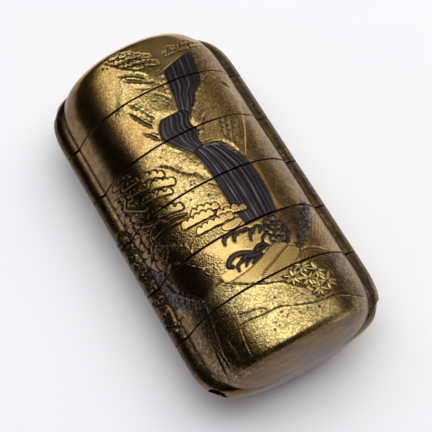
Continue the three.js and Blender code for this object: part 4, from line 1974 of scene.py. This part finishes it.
@dataclass
class CasePiece:
    """One piece of the stack: its carved skin, recess, riser, hollow and cord channels.

    Attributes:
        name: Name of the object and of its node.
        form: Sizes of the case.
        low: Lower seam along Y, or None at the base.
        high: Upper seam along Y, or None at the lid.
        front_step: Spacing of the skin's points across the picture face.
        back_step: Spacing across the plain back.
        row_step: Spacing along the case.
        arris: Radius of the edge at a seam.
        dark_seams_below: Seams under this Y get full dark ink at their edges and read wider and blacker; those
            above get 0.3 of it.
        overlap: How far a joined or cutting solid runs past what it meets.
        riser_rim: Rounding of a riser's top: distance under it, share of width and share of depth.
        hollow_steps: Distances in from the crown at which a hollow's dome is drawn.
    """

    name: str
    form: CaseForm
    low: float | None
    high: float | None
    front_step: float = 0.17
    back_step: float = 0.55
    row_step: float = 0.165
    arris: float = 0.22
    dark_seams_below: float = 8.0
    overlap: float = 1.0
    riser_rim: tuple[tuple[float, float, float], ...] = (
        (0.3, 1.0, 1.0), (0.08, 0.995, 0.993), (0.0, 0.985, 0.98),
    )
    hollow_steps: tuple[float, ...] = (0.1, 0.5, 1.1, 1.8, 2.3, 2.7, 3.1, 3.5, 4.5, 6.0, 9.0, 12.0)

    def stations(self) -> np.ndarray:
        """Rows of (y, share of width, share of depth, edge drop, edge ink) from low to high.

        Returns:
            One row for each station.
        """
        form, end = self.form, self.form.outer_end
        gap = form.seam_gap / 2
        crown = end.stations(22, 18)
        low_y = -form.half + crown[-1] if self.low is None else self.low + gap
        high_y = form.half - crown[-1] if self.high is None else self.high - gap
        edge = [self.arris * share for share in (0.0, 0.12, 0.35, 0.65)]
        first = low_y + (self.arris if self.low is not None else 0.0)
        last = high_y - (self.arris if self.high is not None else 0.0)
        count = max(2, round((last - first) / self.row_step))
        ys = list(np.linspace(first, last, count + 1))
        if self.low is not None:
            ys = [low_y + e for e in edge] + ys
        else:
            ys = [-form.half + s for s in crown[:-1]] + ys
        if self.high is not None:
            ys = ys + [high_y - e for e in reversed(edge)]
        else:
            ys = ys + [form.half - s for s in reversed(crown[:-1])]
        rows = []
        for y in ys:
            s = form.half - abs(y)
            over_low = y - low_y if self.low is not None else math.inf
            under_high = high_y - y if self.high is not None else math.inf
            left = max(0.0, 1 - min(over_low, under_high) / self.arris)
            drop = self.arris * (1 - math.sqrt(max(0.0, 1 - left * left)))
            ink = left * (1.0 if y < self.dark_seams_below else 0.3)
            rows.append((y, end.plan_share(s), end.side_share(s), drop, ink))
        return np.array(rows)

    def skin(self, front: Plate, back: Plate) -> bpy.types.Object:
        """Makes the outer solid with the relief of both faces worked in.

        Args:
            front: The picture face.
            back: The back face.

        Returns:
            The solid, with what the plates hold stored on its points.
        """
        form = self.form
        ring = form.outer_ring(self.front_step, self.back_step)
        stations = self.stations()
        poles = (
            -form.half if self.low is None else float(stations[0, 0]),
            form.half if self.high is None else float(stations[-1, 0]),
        )
        loft = Loft(ring, form.axis_z, poles)
        points = loft.points(stations)
        across = np.roll(points, -1, axis=1) - np.roll(points, 1, axis=1)
        down = np.gradient(points, axis=0)
        normals = np.cross(down, across)
        normals /= np.maximum(np.linalg.norm(normals, axis=-1, keepdims=True), 1e-9)
        is_front = points[..., 2] >= form.axis_z
        x, y = points[..., 0], points[..., 1]
        values = {
            layer: np.where(
                is_front, front.sample(layer, x, y), back.sample(layer, x, y)
            ) for layer in Layer
        }
        values[Layer.INK_AND_SHADE] = np.maximum(values[Layer.INK_AND_SHADE], stations[:, 4, None])
        flat = (~is_front) & (np.abs(x) <= form.rest_half + 0.3)
        lift = np.where(flat, 0.0, values[Layer.HEIGHT])
        lift = np.where(is_front, lift, np.minimum(lift, 0.0)) - stations[:, 3, None]
        points = points + normals * lift[..., None]
        points[..., 2] = np.maximum(points[..., 2], 0.0)
        caps = tuple(Face.OUTSIDE if end is None else Face.INSIDE for end in (self.low, self.high))
        made = loft.build(self.name, points, Face.OUTSIDE, caps)
        for layer in Layer:
            if layer is Layer.HEIGHT:
                continue
            attribute = made.data.attributes.new(layer.value, "FLOAT", "POINT")
            flat_values = np.concatenate(
                [values[layer].ravel(), values[layer][0, :1], values[layer][-1, :1]]
            )
            attribute.data.foreach_set("value", flat_values.astype(np.float32))
        return made

    def tool(self, ring: np.ndarray, stations: Sequence[tuple[float, float, float]]) -> bpy.types.Object:
        """Makes a plain inner solid from stations of (y, share of width, share of depth), rising in Y.

        Args:
            ring: The section.
            stations: The stations.

        Returns:
            The solid.
        """
        rows = np.array(stations, float)
        loft = Loft(ring, self.form.axis_z, (float(rows[0, 0]), float(rows[-1, 0])))
        return loft.build("tool", loft.points(rows), Face.INSIDE, (Face.INSIDE, Face.INSIDE))

    def domed_hollow(self, ring: np.ndarray, y_open: float, y_end: float) -> bpy.types.Object:
        """Makes a hollow that is open at y_open and domed at y_end.

        Args:
            ring: The section.
            y_open: Y of the open end.
            y_end: Y of the dome's crown.

        Returns:
            The solid that cuts it.
        """
        side = math.copysign(1.0, y_end - y_open)
        end = self.form.inner_end
        rows = [(y_end - side * s, end.plan_share(s), end.side_share(s)) for s in self.hollow_steps]
        rows = [*rows, (y_open, 1.0, 1.0)]
        return self.tool(ring, rows[::-1] if side > 0 else rows)

    def channel(self, x: float) -> bpy.types.Object:
        """Makes the round bar that cuts one cord channel.

        Args:
            x: Its centre.

        Returns:
            The bar.
        """
        angle = np.arange(40) / 40 * 2 * math.pi - math.pi / 2
        ring = np.column_stack([np.cos(angle), np.sin(angle)]) * self.form.channel_radius
        made = self.tool(ring, [(-self.form.half - 4, 1.0, 1.0), (self.form.half + 4, 1.0, 1.0)])
        made.location.x = x * MM
        bpy.context.view_layer.update()
        return made

    def build(self, front: Plate, back: Plate) -> bpy.types.Object:
        """Makes the whole piece.

        Args:
            front: The picture face.
            back: The back face.

        Returns:
            The finished mesh object.
        """
        form = self.form
        made = self.skin(front, back)
        riser = form.inner_ring(form.riser_half_width, form.riser_half_depth)
        recess = form.inner_ring(form.riser_half_width + form.slip, form.riser_half_depth + form.slip)
        wall = form.riser_wall
        hollow = form.inner_ring(form.riser_half_width - wall, form.riser_half_depth - wall)
        past = self.overlap
        if self.high is not None:
            top = self.high + form.riser
            rim = [(top - under, width, depth) for under, width, depth in self.riser_rim]
            combine(made, self.tool(riser, [(self.high - 2 * past, 1.0, 1.0), *rim]), Cut.JOIN)
            opening = top + past
        if self.high is None:
            combine(made, self.domed_hollow(recess, self.low - past, form.half - form.end_wall), Cut.CUT)
        elif self.low is None:
            combine(made, self.domed_hollow(hollow, opening, -form.half + form.end_wall), Cut.CUT)
        else:
            ceiling = self.low + form.riser + form.headroom
            combine(made, self.tool(recess, [(self.low - past, 1.0, 1.0), (ceiling, 1.0, 1.0)]), Cut.CUT)
            combine(
                made, self.tool(hollow, [(ceiling + form.floor, 1.0, 1.0), (opening, 1.0, 1.0)]), Cut.CUT
            )
        for side in (-1, 1):
            combine(made, self.channel(side * form.channel_x), Cut.CUT)
        made.data.polygons.foreach_set("use_smooth", np.ones(len(made.data.polygons), bool))
        made.data.set_sharp_from_angle(angle=math.radians(42))
        return made


# ---- finishes


@dataclass(frozen=True)
class GoldLacquer:
    """Raised gold maki-e: gold powder sprinkled on wet lacquer, sealed and polished.

    The eye sees a soft metal sheen that runs from pale gold to brown as the powder thins and where shade is
    painted in at the sides and ribs, coarse flakes with painted glints and painted dark in the grained ground,
    dark lacquer in the cuts, and charcoal and silver powders in the water.
    """

    pale: str = "#F3D88A"
    middle: str = "#C99C57"
    # brown of thin, rubbed gold, also used for the painted shade of the sides and ribs
    rubbed_and_shaded: str = "#73583A"
    # painted glint: the colour of flakes tilted toward the light
    flake: str = "#FFF0BE"
    # brown lacquer between the flakes, also the painted dark of flakes tilted away from the light
    under: str = "#54391E"
    # dark lacquer of cuts, streaks and pits; through the ink layer it also gives the painted shade in the
    # groove and under the ribs
    cut: str = "#150C07"
    charcoal: str = "#272024"
    silver: str = "#ADA8AC"
    roughness: float = 0.2
    flake_size: float = 0.5  # real flakes are about 0.1 to 0.2 mm: drawn coarser so that they show
    mottle_size: float = 3.2  # slow drift of the powder's thickness
    speck_size: float = 0.42  # unevenness of the polish, really finer: drawn coarser so that it shows
    streak_size: float = 1.6  # rubbed streaks, before they are drawn out across the case

    def make(self) -> bpy.types.Material:
        """Makes the material.

        Returns:
            The new material.
        """
        material, tree = blank_material("gold_maki_e_lacquer_polished")
        place = add_node(tree, "TexCoord").outputs["Object"]
        share = {
            layer: add_node(tree, "Attribute", attribute_name=layer.value).outputs["Fac"]
            for layer in Layer
            if layer is not Layer.HEIGHT
        }
        speck = add_node(
            tree,
            "TexNoise",
            {"Vector": place, "Scale": 1 / (self.speck_size * MM), "Detail": 3.0, "Roughness": 0.65},
        ).outputs["Fac"]
        flakes = add_node(
            tree, "TexVoronoi", {"Vector": place, "Scale": 1 / (self.flake_size * MM)}, feature="F1"
        )
        tone = self.tone_of(tree, place, share[Layer.TONE])
        colour = self.sprinkled(tree, self.gold_of(tree, tone), flakes, share[Layer.GRAIN])
        colour = self.rubbed(tree, colour, place, tone, speck)
        water = self.layer_on(tree, None, self.silver, share[Layer.SILVER], 0.85, self.charcoal)
        colour = add_node(
            tree, "Mix", {"Factor": share[Layer.FALL], 6: colour, 7: water}, data_type="RGBA"
        ).outputs[2]
        colour = self.layer_on(tree, colour, self.cut, share[Layer.INK_AND_SHADE], 0.92)
        metal = add_node(
            tree, "MapRange", {"Value": share[Layer.FALL], "To Min": 1.0, "To Max": 0.9}
        ).outputs["Result"]
        shader = add_node(
            tree,
            "BsdfPrincipled",
            {
                "Base Color": colour,
                "Metallic": metal,
                "Roughness": self.roughness_of(tree, share, speck),
                "Normal": self.bump_of(tree, share, flakes, speck),
                "Coat Weight": 0.12,
                "Coat Roughness": 0.12,
                "Coat IOR": 1.54,
            },
        )
        add_node(tree, "OutputMaterial", {"Surface": shader.outputs["BSDF"]})
        return material

    def tone_of(self, tree: Tree, place: Socket, tone: Socket) -> Socket:
        """Lets the tone drift a little, because powder never falls evenly.

        Args:
            tree: The node tree.
            place: Place on the object.
            tone: The gold's tone.

        Returns:
            The drifting tone.
        """
        mottle = add_node(
            tree,
            "TexNoise",
            {"Vector": place, "Scale": 1 / (self.mottle_size * MM), "Detail": 5.0, "Roughness": 0.6},
        ).outputs["Fac"]
        drift = add_node(
            tree,
            "MapRange",
            {"Value": mottle, "From Min": 0.3, "From Max": 0.7, "To Min": -0.1, "To Max": 0.1},
        ).outputs["Result"]
        return add_node(tree, "Math", {0: tone, 1: drift}, operation="ADD", use_clamp=True).outputs["Value"]

    def gold_of(self, tree: Tree, tone: Socket) -> Socket:
        """Gives the gold its colour: brown where it is rubbed thin and where shade is painted in, pale where it
        lies thick.

        Args:
            tree: The node tree.
            tone: The gold's tone.

        Returns:
            The colour.
        """
        gold = add_node(tree, "ValToRGB", {"Fac": tone})
        thin, thick = gold.color_ramp.elements
        thin.position, thick.position = 0.12, 0.95
        thin.color, thick.color = linear(self.rubbed_and_shaded), linear(self.pale)
        gold.color_ramp.elements.new(0.52).color = linear(self.middle)
        return gold.outputs["Color"]

    def sprinkled(self, tree: Tree, colour: Socket, flakes: bpy.types.Node, grain: Socket) -> Socket:
        """Sprinkles flakes with random tilts painted as colour: painted glints, painted dark, and brown gaps
        between them.

        Args:
            tree: The node tree.
            colour: The colour so far.
            flakes: The flake cells.
            grain: Share of flakes.

        Returns:
            The colour with its flakes.
        """
        tilt = add_node(tree, "SeparateColor", {"Color": flakes.outputs["Color"]}).outputs["Red"]
        # painted glint on flakes whose random tilt faces the light
        colour = self.layer_on(tree, colour, self.flake, self.ranged(tree, tilt, 0.6, 0.95, grain), 0.42)
        # painted dark on flakes whose random tilt faces away
        colour = self.layer_on(tree, colour, self.under, self.ranged(tree, tilt, 0.42, 0.08, grain), 0.5)
        gaps = self.ranged(tree, flakes.outputs["Distance"], 0.34, 0.66, grain)
        return self.layer_on(tree, colour, self.under, gaps, 0.62)

    def rubbed(self, tree: Tree, colour: Socket, place: Socket, tone: Socket, speck: Socket) -> Socket:
        """Rubs the gold away: streaks across the case where it is thin, and fine pits everywhere.

        Args:
            tree: The node tree.
            colour: The colour so far.
            place: Place on the object.
            tone: The gold's tone.
            speck: A fine noise.

        Returns:
            The worn colour.
        """
        # the tone also carries the painted shade of the sides and ribs, so these streaks darken it further
        # there
        thin = add_node(
            tree, "Math", {0: 0.7, 1: tone}, operation="SUBTRACT", use_clamp=True
        ).outputs["Value"]
        drawn_out = add_node(
            tree, "Mapping", {"Vector": place, "Scale": (0.22, 1.0, 1.0)}
        ).outputs["Vector"]
        streak = add_node(
            tree,
            "TexNoise",
            {"Vector": drawn_out, "Scale": 1 / (self.streak_size * MM), "Detail": 4.0, "Roughness": 0.6},
        ).outputs["Fac"]
        colour = self.layer_on(tree, colour, self.cut, self.ranged(tree, streak, 0.36, 0.72, thin), 0.85)
        pits = add_node(
            tree,
            "MapRange",
            {"Value": speck, "From Min": 0.36, "From Max": 0.24, "To Min": 0.0, "To Max": 1.0},
        ).outputs["Result"]
        return self.layer_on(tree, colour, self.cut, pits, 0.35)

    @staticmethod
    def ranged(
        tree: Tree, value: Socket, start: float, stop: float, share: Socket
    ) -> Socket:
        """Stretches a value from start to stop, times a share.

        Args:
            tree: The node tree.
            value: The value.
            start: Value that becomes 0.
            stop: Value that becomes 1.
            share: The share.

        Returns:
            The product.
        """
        stretched = add_node(
            tree, "MapRange", {"Value": value, "From Min": start, "From Max": stop}
        ).outputs["Result"]
        return add_node(tree, "Math", {0: stretched, 1: share}, operation="MULTIPLY").outputs["Value"]

    @staticmethod
    def layer_on(
        tree: Tree,
        under: Socket | None,
        over: str,
        share: Socket,
        most: float,
        plain_under: str = "#000000",
    ) -> Socket:
        """Lays one colour over another.

        Args:
            tree: The node tree.
            under: The colour under it, or None for a plain one.
            over: Hex colour of the upper layer.
            share: Where it lies.
            most: Its share where it lies fully.
            plain_under: Hex colour used where `under` is None.

        Returns:
            The mixed colour.
        """
        amount = add_node(tree, "Math", {0: share, 1: most}, operation="MULTIPLY", use_clamp=True)
        mix = add_node(
            tree,
            "Mix",
            {
                "Factor": amount.outputs["Value"],
                6: linear(plain_under) if under is None else under,
                7: linear(over),
            },
            data_type="RGBA",
        )
        return mix.outputs[2]

    def roughness_of(
        self, tree: Tree, share: dict[Layer, Socket], speck: Socket
    ) -> Socket:
        """Makes polished gold, a little rougher where it is grained, cut or combed with silver.

        Args:
            tree: The node tree.
            share: What the skin holds, by layer.
            speck: A fine noise.

        Returns:
            The roughness.
        """
        base = add_node(
            tree,
            "MapRange",
            {"Value": share[Layer.GRAIN], "To Min": self.roughness - 0.03, "To Max": self.roughness + 0.06},
        ).outputs["Result"]
        for value, most in ((share[Layer.FALL], 0.42), (share[Layer.INK_AND_SHADE], 0.5)):
            base = add_node(tree, "Mix", {"Factor": value, 2: base, 3: most}, data_type="FLOAT").outputs[0]
        return add_node(
            tree, "Math", {0: speck, 1: 0.1, 2: base}, operation="MULTIPLY_ADD"
        ).outputs["Value"]

    @staticmethod
    def bump_of(
        tree: Tree,
        share: dict[Layer, Socket],
        flakes: bpy.types.Node,
        speck: Socket,
    ) -> Socket:
        """Raises the flakes of the grained ground, over a fine unevenness everywhere.

        Args:
            tree: The node tree.
            share: What the skin holds, by layer.
            flakes: The flake cells.
            speck: A fine noise.

        Returns:
            The bent normal.
        """
        grain = add_node(
            tree, "Math", {0: flakes.outputs["Distance"], 1: share[Layer.GRAIN]}, operation="MULTIPLY"
        ).outputs["Value"]
        height = add_node(
            tree, "Math", {0: speck, 1: 0.22, 2: grain}, operation="MULTIPLY_ADD"
        ).outputs["Value"]
        return add_node(
            tree, "Bump", {"Height": height, "Strength": 0.9, "Distance": 0.05 * MM}
        ).outputs["Normal"]


@dataclass(frozen=True)
class NashijiInterior:
    """Inner faces: black-brown lacquer with sparse gold flakes under clear lacquer, polished smooth.

    The eye sees a deep dark gloss with a thin scatter of gold.
    """

    ground: str = "#160D08"
    flake: str = "#B98A3E"
    roughness: float = 0.22
    flake_size: float = 0.4  # real flakes are about 0.2 mm: drawn coarser so that they show

    def make(self) -> bpy.types.Material:
        """Makes the material.

        Returns:
            The new material.
        """
        material, tree = blank_material("nashiji_lacquer_polished")
        place = add_node(tree, "TexCoord").outputs["Object"]
        cells = add_node(
            tree, "TexVoronoi", {"Vector": place, "Scale": 1 / (self.flake_size * MM)}, feature="F1"
        )
        random = add_node(tree, "SeparateColor", {"Color": cells.outputs["Color"]}).outputs["Green"]
        chosen = add_node(
            tree, "MapRange", {"Value": random, "From Min": 0.78, "From Max": 0.9}
        ).outputs["Result"]
        core = add_node(
            tree, "MapRange", {"Value": cells.outputs["Distance"], "From Min": 0.42, "From Max": 0.3}
        ).outputs["Result"]
        share = add_node(tree, "Math", {0: chosen, 1: core}, operation="MULTIPLY").outputs["Value"]
        colour = add_node(
            tree, "Mix", {"Factor": share, 6: linear(self.ground), 7: linear(self.flake)}, data_type="RGBA"
        ).outputs[2]
        shader = add_node(
            tree,
            "BsdfPrincipled",
            {
                "Base Color": colour,
                "Metallic": share,
                "Roughness": self.roughness,
                "IOR": 1.54,
                "Coat Weight": 0.3,
                "Coat Roughness": 0.08,
                "Coat IOR": 1.54,
            },
        )
        add_node(tree, "OutputMaterial", {"Surface": shader.outputs["BSDF"]})
        return material


@dataclass(frozen=True)
class PaperSweep:
    """The floor: matt white background paper, with a very faint unevenness."""

    white: str = "#F8F8FA"
    grey: str = "#F4F4F7"

    def make(self) -> bpy.types.Material:
        """Makes the material.

        Returns:
            The new material.
        """
        material, tree = blank_material("background_paper_matt")
        place = add_node(tree, "TexCoord").outputs["Object"]
        cloud = add_node(
            tree, "TexNoise", {"Vector": place, "Scale": 1 / (60 * MM), "Detail": 2.0}
        ).outputs["Fac"]
        colour = add_node(
            tree, "Mix", {"Factor": cloud, 6: linear(self.white), 7: linear(self.grey)}, data_type="RGBA"
        ).outputs[2]
        shader = add_node(
            tree, "BsdfPrincipled", {"Base Color": colour, "Roughness": 0.85, "Specular IOR Level": 0.2}
        )
        add_node(tree, "OutputMaterial", {"Surface": shader.outputs["BSDF"]})
        return material


# ---- studio


@dataclass(frozen=True)
class SoftBox:
    """A rectangular soft light aimed at the case.

    Attributes:
        name: Name of the light.
        bearing: Direction from the case to the light, as x, y, z shares.
        distance: Distance in metres.
        size: Width and length in metres.
        radiance: Brightness of its face against white paper at 1.
        tint: Hex colour of its light.
        in_gloss: Whether polished faces mirror it.
    """

    name: str
    bearing: tuple[float, float, float]
    distance: float
    size: tuple[float, float]
    radiance: float
    tint: str = "#FFFFFF"
    in_gloss: bool = True

    def place(self, target: Vector) -> None:
        """Adds the light to the scene, aimed at the target.

        Args:
            target: What the light looks at.
        """
        lamp = bpy.data.lights.new(self.name, "AREA")
        lamp.shape = "RECTANGLE"
        lamp.size, lamp.size_y = self.size
        lamp.energy = self.radiance * math.pi * self.size[0] * self.size[1]
        lamp.color = linear(self.tint)[:3]
        holder = bpy.data.objects.new(self.name, lamp)
        holder.visible_glossy = self.in_gloss
        bpy.context.scene.collection.objects.link(holder)
        away = Vector(self.bearing).normalized()
        holder.location = target + away * self.distance
        holder.rotation_euler = away.to_track_quat("Z", "Y").to_euler()


@dataclass
class Studio:
    """The plain pale floor, the soft lights and the camera.

    Attributes:
        azimuth: Camera's turn round the case in degrees, 0 looking along +Y.
        elevation: Camera's height over the horizon in degrees.
        distance: Camera to its aim, in mm.
        aim: What the camera looks at, from the middle of the case's floor, in mm.
        lens: Focal length on a 36 mm sensor.
        boxes: The soft boxes.
        room_left: What polished faces mirror from the left, as a hex colour.
        room_right: What they mirror from the right.
        room_fill: The room's light on matt faces.
        beyond_floor: What shows past the floor's edge.
        floor_half: Half the floor's width, in metres.
        floor_cells: Faces along each side of the floor.
    """

    azimuth: float = -29.24
    elevation: float = 65.55
    distance: float = 364.5
    aim: tuple[float, float, float] = (3.53, 4.01, -0.23)
    lens: float = 115.2
    boxes: tuple[SoftBox, ...] = (
        SoftBox("top_softbox", (-0.12, 0.19, 0.97), 0.62, (0.38, 0.74), 1.7),
        SoftBox("right_softbox", (0.50, 0.12, 0.80), 0.7, (0.42, 0.66), 0.62, "#FFF8EE"),
        SoftBox("floor_softbox", (0.34, 0.14, 0.93), 1.1, (1.2, 1.2), 1.62, "#FFFFFF", False),
    )
    room_left: str = "#1E1E20"
    room_right: str = "#717174"
    room_fill: str = "#8A8A8E"
    beyond_floor: str = "#F4F5F8"
    floor_half: float = 1.6
    floor_cells: int = 12

    def place_camera(self) -> None:
        """Adds the camera and makes it the scene's own."""
        a, e = math.radians(self.azimuth), math.radians(self.elevation)
        back = Vector((math.sin(a) * math.cos(e), -math.cos(a) * math.cos(e), math.sin(e)))
        lens = bpy.data.cameras.new("camera")
        lens.lens = self.lens
        lens.sensor_width = 36.0
        lens.clip_start, lens.clip_end = 0.01, 20.0
        camera = bpy.data.objects.new("camera", lens)
        bpy.context.scene.collection.objects.link(camera)
        camera.location = (Vector(self.aim) + back * self.distance) * MM
        camera.rotation_euler = (-back).to_track_quat("-Z", "Y").to_euler()
        bpy.context.scene.camera = camera

    def lay_floor(self) -> None:
        """Adds the paper floor, which isn't part of the case."""
        mesh = bpy.data.meshes.new("floor")
        width = self.floor_cells + 1
        steps = np.linspace(-self.floor_half, self.floor_half, width)
        vertices = [(x, y, 0.0) for y in steps for x in steps]
        corners = [r * width + c for r in range(self.floor_cells) for c in range(self.floor_cells)]
        faces = [(i, i + 1, i + width + 1, i + width) for i in corners]
        mesh.from_pydata(vertices, [], faces)
        mesh.materials.append(PaperSweep().make())
        floor = bpy.data.objects.new("floor", mesh)
        bpy.context.scene.collection.objects.link(floor)

    def light_room(self) -> None:
        """Makes a dim room, darker on the left, and pale where the eye looks past the floor."""
        world = bpy.data.worlds.new("room")
        world.use_nodes = True
        tree = world.node_tree
        tree.nodes.clear()
        way = add_node(tree, "TexCoord").outputs["Generated"]
        across = add_node(tree, "SeparateXYZ", {"Vector": way}).outputs["X"]
        side = add_node(
            tree,
            "MapRange",
            {"Value": across, "From Min": -0.1, "From Max": 0.9},
            interpolation_type="SMOOTHSTEP",
        ).outputs["Result"]
        walls = add_node(
            tree,
            "Mix",
            {"Factor": side, 6: linear(self.room_left), 7: linear(self.room_right)},
            data_type="RGBA",
        ).outputs[2]
        path = add_node(tree, "LightPath").outputs
        soft = add_node(
            tree,
            "Mix",
            {"Factor": path["Is Diffuse Ray"], 6: walls, 7: linear(self.room_fill)},
            data_type="RGBA",
        ).outputs[2]
        seen = add_node(
            tree,
            "Mix",
            {"Factor": path["Is Camera Ray"], 6: soft, 7: linear(self.beyond_floor)},
            data_type="RGBA",
        ).outputs[2]
        light = add_node(tree, "Background", {"Color": seen, "Strength": 1.0})
        add_node(tree, "OutputWorld", {"Surface": light.outputs["Background"]})
        bpy.context.scene.world = world

    def build(self) -> None:
        """Sets up camera, floor, lights and how light becomes colour."""
        self.place_camera()
        self.lay_floor()
        self.light_room()
        low, high = CAD_BOX
        for box in self.boxes:
            box.place((low + high) / 2)
        bpy.context.scene.view_settings.view_transform = "Standard"


# ---- the case


@dataclass
class InroCase:
    """The whole case: a lid and five trays in gold lacquer."""

    form: CaseForm = field(default_factory=CaseForm)

    def pieces(self) -> Iterable[CasePiece]:
        """Gives the lid, then each tray from the top down.

        Returns:
            The pieces, one after the other.
        """
        form = self.form
        yield CasePiece("lid", form, form.seam(1), None)
        for number in range(1, form.trays + 1):
            low = None if number == form.trays else form.seam(number + 1)
            yield CasePiece(f"tray_{number}", form, low, form.seam(number))

    def build(self) -> None:
        """Builds and dresses every piece, and stands it for its solid."""
        front, back = PictureFace().draw(), BackFace().draw()
        LOG.info("picture face and back drawn")
        finishes = (GoldLacquer().make(), NashijiInterior().make())
        for piece in self.pieces():
            node = piece.name
            piece.name = f"{node}_lacquered"
            made = piece.build(front, back)
            made.data.materials.clear()
            for finish in finishes:
                made.data.materials.append(finish)
            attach(made, "root")
            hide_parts(node)
            LOG.info("%s: %d faces", made.name, len(made.data.polygons))


def main() -> None:
    """Builds the studio and the case."""
    logging.basicConfig(level=logging.INFO, format="%(name)s: %(message)s")
    Studio().build()
    InroCase().build()
    LOG.info("boxes written")


if __name__ == "__main__":
    main()
